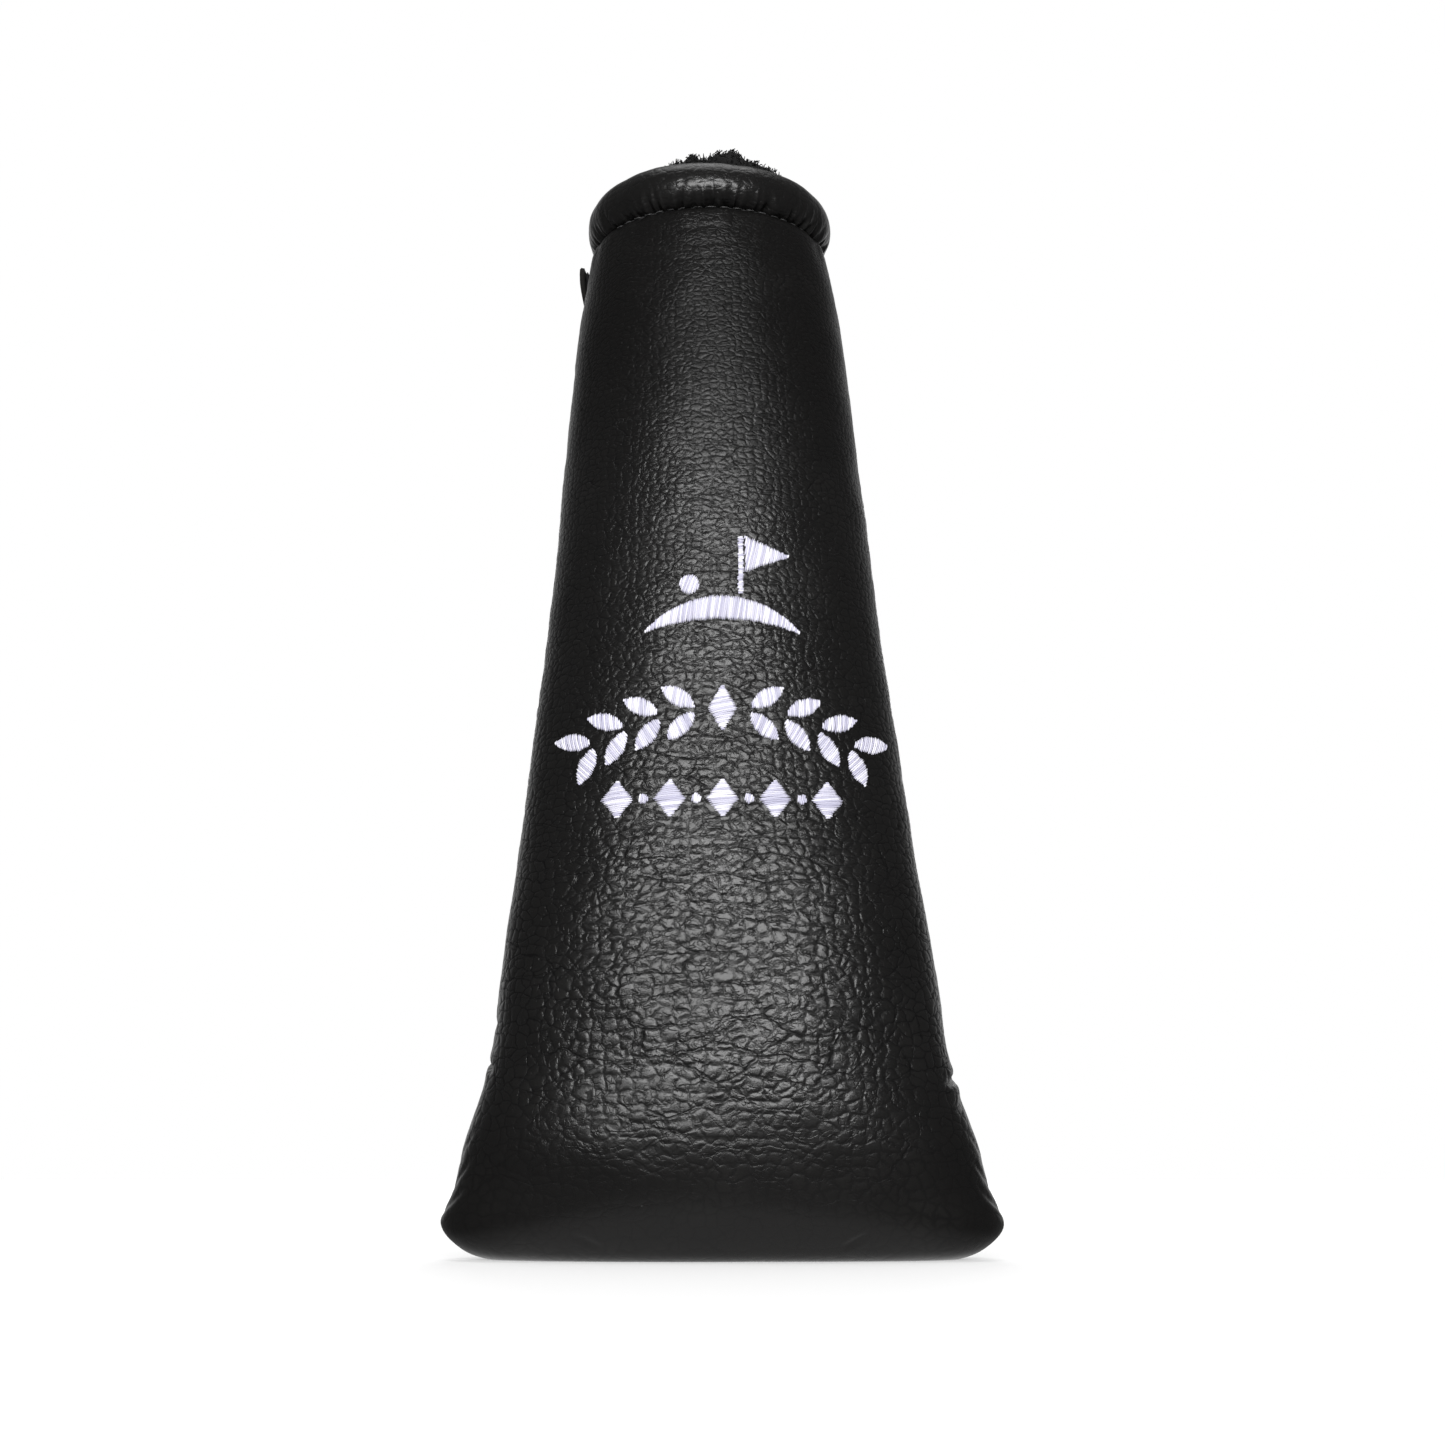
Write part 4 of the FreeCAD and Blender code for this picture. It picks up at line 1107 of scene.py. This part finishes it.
def fleece_rim():
    """The bunched edge of the fleece in the mouth, and a point and normal grid for its pile."""
    turns, rolls = open_ring(RIM_GAP, 420, 26)
    out = round_mouth(turns)
    rough = soft_noise(out * 12.0, 1.0, 52)[:, :1]
    rise = rim_rise(turns) * (1 + 0.22 * rough)
    clump = 0.30 * soft_noise(np.stack([turns * 22.0, rolls * 2.0, 0 * turns], -1), 1.4, 53)
    wide = 1.5 + 1.1 * rise + clump
    high = 1.2 + 2.3 * rise + clump
    radius = 22.7 + 1.1 * rise - np.cos(rolls) * wide
    z = 259.9 + 2.5 * rise - np.sin(rolls) * high
    # It rests on the leather roll wherever it reaches over it.
    beside = np.clip(1 - ((radius - ROLL_RADIUS / MM) / (ROLL_HALF_WIDTH / MM + 0.3)) ** 2, 0, 1)
    roll_top = ROLL_MIDDLE / MM + (ROLL_HALF_HEIGHT / MM + 0.3) * np.sqrt(beside)
    z = np.where((beside > 0) & (z < roll_top), roll_top, z)
    grid = round_grid(turns, radius * MM, z * MM)
    belongs(open_tube("mouth_fleece_rim", grid, black_pile), "root", "black_fleece")
    around = -np.cos(rolls) / wide
    away = np.stack([out[..., 0] * around, out[..., 1] * around, -np.sin(rolls) / high], -1)
    return grid, unit(away)


def mouth_pile():
    """Short curls all over the fleece's bunched edge and down inside the mouth."""
    rim, away = fleece_rim()
    random = np.random.default_rng(51)
    count, beads = 11000, 5
    inside = count * 3 // 10
    row = random.integers(0, len(rim), count)
    column = random.integers(0, rim.shape[1], count)
    start, heading = rim[row, column], away[row, column]
    start += random.normal(0, 0.10 * MM, (count, 3))
    gap = math.radians(RIM_GAP)
    out = round_mouth(random.uniform(gap, WHOLE_TURN - gap, inside))
    low = random.uniform(236.0, 260.0, inside)[:, None] * MM
    start[:inside] = out * 19.9 * MM + np.array([-LEAN, 0, 0]) + low * [0, 0, 1]
    heading[:inside] = -out
    length = random.uniform(0.55, 1.15, (count, 1, 1)) * MM
    bent = unit(heading + random.normal(0, 0.45, (count, 3)))[:, None]
    curl = unit(random.normal(0, 1, (count, 3)))[:, None]
    share = np.linspace(0, 1, beads)[None, :, None]
    paths = start[:, None] - heading[:, None] * 0.15 * MM + bent * share * length
    paths = paths + curl * share**2 * length * 0.55
    paths = paths + np.cross(bent, curl) * np.sin(share * 5.0) * length * 0.22
    normals = np.broadcast_to(curl, paths.shape)
    made = tubes("mouth_fleece_pile", paths, normals, 0.15 * MM, 0.12 * MM, black_pile, 3, 0.8)
    belongs(made, "root", "black_fleece")


# ---------------------------------------------------------------- sewing


def laid_on(surface, points, outward):
    """Where points meet a surface when they are pushed in from outside, and its normals there.

    outward has a direction for each point, or one for all."""
    found, normals = [], []
    for point, away in zip(points, np.broadcast_to(outward, points.shape)):
        away = Vector(away).normalized()
        hit, normal, *_ = surface.ray_cast(Vector(point) + away * 6 * MM, -away, 14 * MM)
        found.append(list(hit) if hit else list(point))
        normals.append(list(normal) if hit and normal.dot(away) > 0.3 else list(away))
    return np.array(found), unit(np.array(normals))


def laid_round(surface, line):
    """Where a line round the neck meets a surface outside it, and the surface's normals there."""
    away = [line[:, 0] - middle_x(line[:, 2]), line[:, 1] * 1.4, 0 * line[:, 0]]
    return laid_on(surface, line, unit(np.stack(away, -1)))


def stitches_along(line, normals, length, gap, lift):
    """Running stitches along a line: each one's path, bedded at its ends, and its normals."""
    normals = np.broadcast_to(normals, line.shape)
    steps = np.linalg.norm(np.diff(line, axis=0), axis=1)
    travelled = np.concatenate([[0], np.cumsum(steps)])
    share = np.linspace(0, 1, 7)
    starts = np.arange(gap / 2, travelled[-1] - length, length + gap)
    place = starts[:, None] + share * length
    path = np.stack([np.interp(place, travelled, line[:, i]) for i in range(3)], -1)
    normal = unit(np.stack([np.interp(place, travelled, normals[:, i]) for i in range(3)], -1))
    arch = lift * (1.6 * np.sin(math.pi * share) ** 0.6 - 0.9)
    return path + normal * arch[None, :, None], normal


def sew(name, lines, length, gap, body="root", lift=0.16 * MM, half_width=0.24 * MM):
    """Black running stitches on a body, along one line or several."""
    found = [stitches_along(line, normals, length, gap, lift) for line, normals in lines]
    paths = np.concatenate([path for path, _ in found])
    normals = np.concatenate([normal for _, normal in found])
    made = tubes(name + "_stitches", paths, normals, half_width, 0.75 * half_width, black_thread)
    kind = "_thread" if name.endswith("seam") else "_stitching"
    belongs(made, body, "black_thread", name + kind)


def seam_line(turn, low, high, depth, notch=None):
    """A line down in a seam of the wall, at a turn, and the way out from it. It dips into the
    deep crease that meets the seam at the notch's height, if it has one."""
    z = np.linspace(low, high, 400)
    line = OUTER.point_at(z, np.full(len(z), turn))
    away = np.array([math.sin(turn), -math.cos(turn), 0.0])
    if notch is not None:
        depth = depth + 1.3 * MM * bump_of(line[:, 2:] - notch * MM, 2.6 * MM)
    return line - away * depth, away


def seam_stitches():
    """The stitches of the wall's own seams."""
    left = seam_line(3 * QUARTER, 2 * MM, 247 * MM, 0.9 * MM, LEFT_NOTCH)
    sew("left_side_seam", [left], *SEAM_STITCH)
    right = seam_line(QUARTER, 2 * MM, 247 * MM, 0.9 * MM, RIGHT_NOTCH)
    sew("right_side_seam", [right], *SEAM_STITCH)
    back = seam_line(HALF_TURN, 2.5 * MM, SLIT_BOTTOM - 4 * MM, 0.8 * MM)
    sew("centre_back_seam", [back], *SEAM_STITCH)
    x = np.linspace(-49.5, 49.5, 200) * MM
    sole = np.stack([x, 0 * x, np.full(200, 0.55 * MM)], -1)
    sew("bottom_seam", [(sole, [0.0, 0.0, -1.0])], *SEAM_STITCH, lift=0.1 * MM)
    gap = math.radians(RIM_GAP)
    away = round_mouth(np.linspace(gap, WHOLE_TURN - gap, 900))
    ring = away * np.array([27.9, 27.4, 0.0]) * MM + [-LEAN, 0.0, RIM - 0.1 * MM]
    collar = [(ring, unit(away - [0.0, 0.0, 0.25]))]
    sew("collar_seam", collar, 2.2 * MM, 1.1 * MM, lift=0.3 * MM, half_width=0.15 * MM)


def slit_stitches(wall):
    """A row of stitches beside each edge of the slit, and the bartack at its foot."""
    lines = []
    for side in (1, -1):
        z = np.linspace(SLIT_BOTTOM + 4 * MM, 246 * MM, 300)
        line = OUTER.point_at(z, HALF_TURN - side * 4.6 * MM / OUTER.width(OUTER.slant_at(z)))
        lines.append(laid_on(wall, line, BACKWARD))
    sew("slit_edge", lines, *EDGE_STITCH)
    random = np.random.default_rng(61)
    paths = []
    share = np.linspace(0, 1, 11)
    for z in np.arange(-2.5, 2.5, 0.40):
        x = np.linspace(-4.0, 4.0, 11) + random.uniform(-0.2, 0.2) + middle_x(SLIT_BOTTOM) / MM
        line = np.stack([x, 27.0 + 0 * x, z + SLIT_BOTTOM / MM + 0 * x], -1) * MM
        line, _ = laid_on(wall, line, BACKWARD)
        line = line[:1] * (1 - share[:, None]) + line[-1:] * share[:, None]
        line[:, 1] = line[:, 1].max() + 0.32 * MM * (np.sin(math.pi * share) ** 0.5 - 0.4)
        paths.append(line)
    normals = np.broadcast_to(BACKWARD, np.shape(paths))
    made = tubes("slit_bartack_stitches", paths, normals, 0.22 * MM, 0.2 * MM, black_thread)
    belongs(made, "root", "black_thread", "slit_bartack")


# ---------------------------------------------------------------- the closure

# The flap's free edge, in mm: height, and how far behind the left side's middle it lies.
FREE_EDGE = [
    (207.0, 21.8),
    (208.2, 19.0),
    (210.5, 16.8),
    (214.0, 15.5),
    (222.0, 14.3),
    (231.0, 13.0),
    (237.0, 11.4),
    (241.0, 8.4),
    (244.5, 4.6),
    (247.4, 2.0),
]
free_edge = curve_through(*zip(*FREE_EDGE))


def turn_behind(z, behind):
    """The turn of the point on the left that lies a distance behind the side's middle."""
    deep = OUTER.deep(OUTER.slant_at(z))
    return WHOLE_TURN - np.arccos(-behind / deep)


def turn_right_of(z, x):
    """The turn of the point on the back at a distance to the right of the frame's middle."""
    width = OUTER.width(OUTER.slant_at(z))
    return HALF_TURN - np.arcsin((x - middle_x(z)) / width)


def wrapped(z, start, end, columns):
    """A grid over the neck between two turns for each height, its normals and its arcs."""
    share = np.linspace(0, 1, columns)
    turns = start[:, None] * (1 - share) + end[:, None] * share
    slants = OUTER.slant_at(z)
    grid = OUTER.point(slants[:, None] + 0 * share, turns)
    steps = np.linalg.norm(np.diff(grid, axis=1), axis=2)
    arcs = np.concatenate([np.zeros((len(z), 1)), np.cumsum(steps, axis=1)], axis=1)
    return grid, grid_normals(grid), arcs


def cover_edges(arcs, z, radius, depth):
    """How far a cut edge is rounded off, all round a wrapped piece."""
    beside = np.minimum(arcs, arcs[:, -1:] - arcs)
    above = np.minimum(z - z[0], z[-1] - z)[:, None]
    return edge_roll(np.minimum(beside, above), radius, depth)


def flap_leather():
    """The flap and its sewn-down base as one piece of leather, bent where it is hinged."""
    z = np.linspace(FLAP_BOTTOM, FLAP_TOP, 145)
    corner = np.clip(1 - np.minimum(z - z[0], z[-1] - z) / (3 * MM), 0, 1)
    base = BASE_RIGHT - 3 * MM * (1 - np.sqrt(1 - corner**2))
    end = turn_behind(z, free_edge(z / MM) * MM)
    grid, normals, arcs = wrapped(z, turn_right_of(z, base), end, 305)
    lifted = 1 - ease(grid[..., 0], 2.8 * MM, 9.5 * MM)
    wave = 0.22 * soft_noise(grid, 14.0 * MM, 71) + 0.10 * soft_noise(grid, 6.0 * MM, 72)
    tip = ease(z, 240 * MM, 247 * MM)[:, None] * bump_of(arcs[:, -1:] - arcs, 7 * MM)
    rise = (0.10 + 2.0 * lifted) * MM + (0.35 * tip + 0.5 * np.abs(wave) * lifted) * MM
    outer = grid + normals * (rise + LEATHER - cover_edges(arcs, z, 0.5 * MM, 0.35 * MM))[..., None]
    inner = grid + normals * rise[..., None]
    made = closed_sheet("flap_leather", outer, inner, 4, [leather, flesh_side])
    depth = 0.6 * ease(cover_edges(arcs, z, 2.0 * MM, 1.0), 0.9, 0.0)
    raise_grain(made, grain_place(arcs, OUTER.slant_at(z), 5), depth, 0.06 * MM)
    surface = surface_of(made)
    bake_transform(made)
    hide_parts("closure_flap", "flap_base")
    return surface


def flap_layer(name, node, z, start, end, low, high, material, slot, body):
    """A thin piece of the closure that lies between two heights over the neck's leather."""
    grid, normals, arcs = wrapped(z, start, end, 65)
    soft = cover_edges(arcs, z, 0.5 * MM, 0.4 * (high - low))
    outer = grid + normals * (high - soft)[..., None]
    made = closed_sheet(name, outer, grid + normals * low, 1, [material, material])
    belongs(made, body, slot, node)
    return made, (grid, normals)


def tape_fibres(name, base, height, shape, count, material, slot, body, seed):
    """Small hooks or loops all over a tape. shape has (along, up) for each bead, in mm."""
    grid, normals = base
    random = np.random.default_rng(seed)
    rows = random.uniform(1, len(grid) - 2, count).astype(int)
    columns = random.uniform(1, grid.shape[1] - 2, count).astype(int)
    spread = random.uniform(0, 1, (count, 2, 1))
    spot = grid[rows, columns]
    across = grid[rows, columns + 1] - spot
    upward = grid[rows + 1, columns] - spot
    spot = spot + across * spread[:, 0] + upward * spread[:, 1]
    away = normals[rows, columns]
    angle = random.uniform(0, WHOLE_TURN, (count, 1))
    along = unit(np.cos(angle) * unit(across) + np.sin(angle) * unit(upward))
    beads = np.array(shape) * MM
    paths = spot[:, None] + along[:, None] * beads[None, :, :1]
    paths = paths + away[:, None] * (height + beads[None, :, 1:])
    side = np.broadcast_to(np.cross(along, away)[:, None], paths.shape)
    made = tubes(name, paths, side, 0.045 * MM, 0.045 * MM, material, 3, 0.8)
    belongs(made, body, slot)


def rectangle_on(surface, near, far, bottom, top, inset, by):
    """Stitches' line round a rectangle, drawn in by an inset, on a surface of the closure. Its
    near and far sides are distances that by turns into turns."""
    near, far, bottom, top = (side / MM for side in (near, far, bottom, top))
    near, far, bottom, top = near - inset, far + inset, bottom + inset, top - inset
    corners = [(near, bottom), (far, bottom), (far, top), (near, top), (near, bottom)]
    share = np.linspace(0, 1, 60, endpoint=False)
    line = []
    for (a0, z0), (a1, z1) in zip(corners, corners[1:]):
        z = (z0 + (z1 - z0) * share) * MM
        line.append(OUTER.point_at(z, by(z, (a0 + (a1 - a0) * share) * MM)))
    return laid_round(surface, np.concatenate(line))


def flap_edge_line(surface):
    """The line beside the flap's lower, free and upper edges, from its base and back to it."""
    inset = EDGE_INSET / MM
    low, high = FLAP_BOTTOM / MM + inset, FLAP_TOP / MM - inset
    z = np.linspace(low, high, 200)
    front = OUTER.point_at(z * MM, turn_behind(z * MM, (free_edge(z) + inset * 1.15) * MM))
    rows = []
    for height in (low, high):
        z = np.full(120, height * MM)
        first = turn_right_of(z, 1.4 * MM)
        last = turn_behind(z, (free_edge(height) + inset * 1.15) * MM)
        share = np.linspace(0, 1, 120)
        rows.append(OUTER.point_at(z, first * (1 - share) + last * share))
    return laid_round(surface, np.concatenate([rows[0], front, rows[1][::-1]]))


def closure():
    """The flap with its lining and tapes, and everything that is sewn to them."""
    flap = flap_leather()
    z = np.linspace(FLAP_BOTTOM + 0.5 * MM, FLAP_TOP - 0.5 * MM, 61)
    start, end = turn_right_of(z, 1.6 * MM), turn_behind(z, (free_edge(z / MM) + 0.5) * MM)
    lining, _ = flap_layer(
        "flap_lining_cloth", "flap_lining", z, start, end,
        *LINING_LIFT, lining_cloth, "flap_lining_cloth", "flap",
    )

    def tape(name, margin, rows, lift, material, body):
        """The woven ground of one of the two tapes, and the grid for its hooks or loops."""
        z = np.linspace(TAPE_BOTTOM - margin, TAPE_TOP + margin, rows)
        start, end = turn_behind(z, TAPE_BACK + margin), turn_behind(z, TAPE_FRONT - margin)
        ground, base = flap_layer(
            name + "_ground", name, z, start, end, *lift, material, name, body
        )
        return ground, base

    _, base = tape(
        "hook_tape", 0, 49, HOOK_LIFT, hook_ground, "flap"
    )
    hook = [(0.0, 0.02), (0.0, -0.08), (0.03, -0.13), (0.10, -0.14), (0.13, -0.10)]
    tape_fibres(
        "hook_tape_hooks", base, HOOK_LIFT[0], hook, 1100, tape_plastic, "hook_tape", "flap", 81
    )
    loops, base = tape(
        "loop_tape", LOOP_MARGIN, 57, LOOP_LIFT, loop_ground, "root",
    )
    loop = [(-0.22, -0.02), (-0.16, 0.08), (0.0, 0.12), (0.16, 0.08), (0.22, -0.02)]
    tape_fibres(
        "loop_tape_loops", base, LOOP_LIFT[1], loop, 2600, loop_ground, "loop_tape", "root", 82
    )
    sew("flap_edge", [flap_edge_line(flap)], *EDGE_STITCH, "flap")
    box = TAPE_BACK, TAPE_FRONT, TAPE_BOTTOM, TAPE_TOP
    line = rectangle_on(flap, *box, TAPE_INSET / MM, turn_behind)
    sew("hook_tape", [line], *TAPE_STITCH, "flap")
    line = rectangle_on(surface_of(loops), *box, -1.2, turn_behind)
    sew("loop_tape", [line], *TAPE_STITCH, "root", 0.08 * MM, 0.18 * MM)
    box = BASE_RIGHT, BASE_LEFT + 1.0 * MM, FLAP_BOTTOM, FLAP_TOP
    line = rectangle_on(flap, *box, 1.9, turn_right_of)
    sew("flap_base", [line], *EDGE_STITCH)


# ---------------------------------------------------------------- studio


def studio():
    """A pale floor, a world that lights from above and behind, two softboxes and the camera."""
    scene = bpy.context.scene
    corners = [(-4, -4, 0), (4, -4, 0), (4, 4, 0), (-4, 4, 0)]
    mesh_object("floor", corners, [(0, 1, 2, 3)], [floor_material()])
    scene.world = bpy.data.worlds.new("studio")
    scene.world.use_nodes = True
    scene.world.node_tree.nodes.clear()
    graph = Graph(scene.world.node_tree)
    parts = graph.parts(graph.place("Generated"))
    overhead = graph.remap(parts["Z"], 0.86, 0.97, 0.0, 2.8)
    behind = graph.remap(parts["Y"], 0.55, 0.98, 0.15, 0.85)
    strength = graph.plus(overhead, behind)
    dome = graph.add("ShaderNodeBackground", {"Color": (1, 1, 1, 1), "Strength": strength})
    seen = graph.add("ShaderNodeBackground", {"Color": (1, 1, 1, 1), "Strength": 1.0})
    ray = graph.add("ShaderNodeLightPath").outputs["Is Camera Ray"]
    both = graph.add("ShaderNodeMixShader", {0: ray, 1: dome.outputs[0], 2: seen.outputs[0]})
    graph.add("ShaderNodeOutputWorld", {"Surface": both.outputs[0]})
    softbox("front_softbox", (0.0, -1.25, 0.31), (1.20, 0.42), 28.0)
    softbox("back_softbox", (0.0, 1.25, 0.45), (0.70, 0.60), 7.0)
    scene.view_settings.view_transform = "Standard"
    camera = bpy.data.cameras.new("camera")
    camera.lens = 49.7
    camera.sensor_width = 36.0
    camera.clip_start = 0.01
    holder = bpy.data.objects.new("camera", camera)
    holder.location = (0.0, -0.476, 0.020)
    holder.rotation_euler = (QUARTER + math.radians(12.66), 0, 0)
    scene.collection.objects.link(holder)
    scene.camera = holder


def softbox(name, place, size, power):
    """An oval light that faces the middle of the cover."""
    light = bpy.data.lights.new(name, "AREA")
    light.shape = "ELLIPSE"
    light.size, light.size_y = size
    light.energy = power
    made = bpy.data.objects.new(name, light)
    made.location = place
    aim = Vector((0, 0, 0.12)) - Vector(place)
    made.rotation_euler = aim.to_track_quat("-Z", "Y").to_euler()
    made.visible_camera = False
    bpy.context.scene.collection.objects.link(made)


def floor_material():
    """A pale table that glows, so that its shadow is faint. The glow that is seen grows with
    distance, and the glow that lights the cover comes from close under its sole."""
    material, graph = new_material("pale_floor")
    place = graph.place()
    seen = graph.mix(graph.noise(place, 3.0), grey(0.48), grey(0.50))
    ray = graph.add("ShaderNodeLightPath").outputs["Is Camera Ray"]
    tone = graph.mix(ray, grey(0.12), seen)
    spot = graph.vector("MULTIPLY", place, (0.8, 1.0, 0.0))
    distance = graph.add("ShaderNodeVectorMath", {0: spot}, operation="LENGTH").outputs["Value"]
    shown = graph.remap(distance, 0.18, 0.80, 0.46, 0.85)
    given = graph.remap(distance, 0.035, 0.057, 1.15, 0.04)
    glow = graph.add("ShaderNodeMix", {"Factor": ray, "A": given, "B": shown}).outputs["Result"]
    look = dict(Roughness=0.9, Specular_IOR_Level=0.2, Emission_Color=(1, 1, 1, 1))
    graph.surface(Base_Color=tone, Emission_Strength=glow, **look)
    return material


# ---------------------------------------------------------------- the whole cover

leather = leather_material()
flesh_side = suede_material()
black_pile = pile_material()
charcoal_foam = foam_material()
felt_tones = (0.50, 0.50, 0.48, 1), (0.74, 0.73, 0.70, 1)
lining_tones = (0.006, 0.006, 0.007, 1), (0.030, 0.030, 0.033, 1)
sewing_tones = grey(0.004), (0.024, 0.024, 0.026, 1)
embroidery_tones = (0.36, 0.35, 0.46, 1), (0.70, 0.69, 0.76, 1)
white_felt = cloth_material("white_felt", *felt_tones, 0.9 * MM, 0.0003)
lining_cloth = cloth_material("black_lining_cloth", *lining_tones, 0.5 * MM, 0.0002)
hook_ground = cloth_material("hook_tape_weave", grey(0.006), grey(0.022), 0.8 * MM, 0.0002)
loop_ground = cloth_material("loop_tape_weave", grey(0.005), grey(0.024), 0.7 * MM, 0.0002, 0.2)
tape_plastic = thread_material("black_hook_plastic", grey(0.006), grey(0.020), 0.35, 0.0)
black_thread = thread_material("black_sewing_thread", *sewing_tones, 0.55, 0.1)
white_thread = thread_material("white_embroidery_thread", *embroidery_tones, 0.5, 0.15)

front_folds = NOTCHES + corner_creases() + SMALL_CREASES + foot_creases() + neck_wrinkles()
front = leather_panel("front_panel", -QUARTER, QUARTER, 201, 1, None, front_folds)
back_right = leather_panel("back_panel_right", QUARTER, HALF_TURN, 117, 2, "end", [])
back_left = leather_panel("back_panel_left", HALF_TURN, 3 * QUARTER, 117, 3, "start", [])
collar_roll()
front_surface = surface_of(front)
embroider("emblem_embroidery", emblem_shapes(), front_surface, 41)
embroider("arch_embroidery", arch_shapes(), front_surface, 42)
embroider("row_embroidery", row_shapes(), front_surface, 43)
wall_layers()
backing_patch()
collar_core()
mouth_pile()
seam_stitches()
slit_stitches(surface_of(back_right, back_left))
closure()
studio()
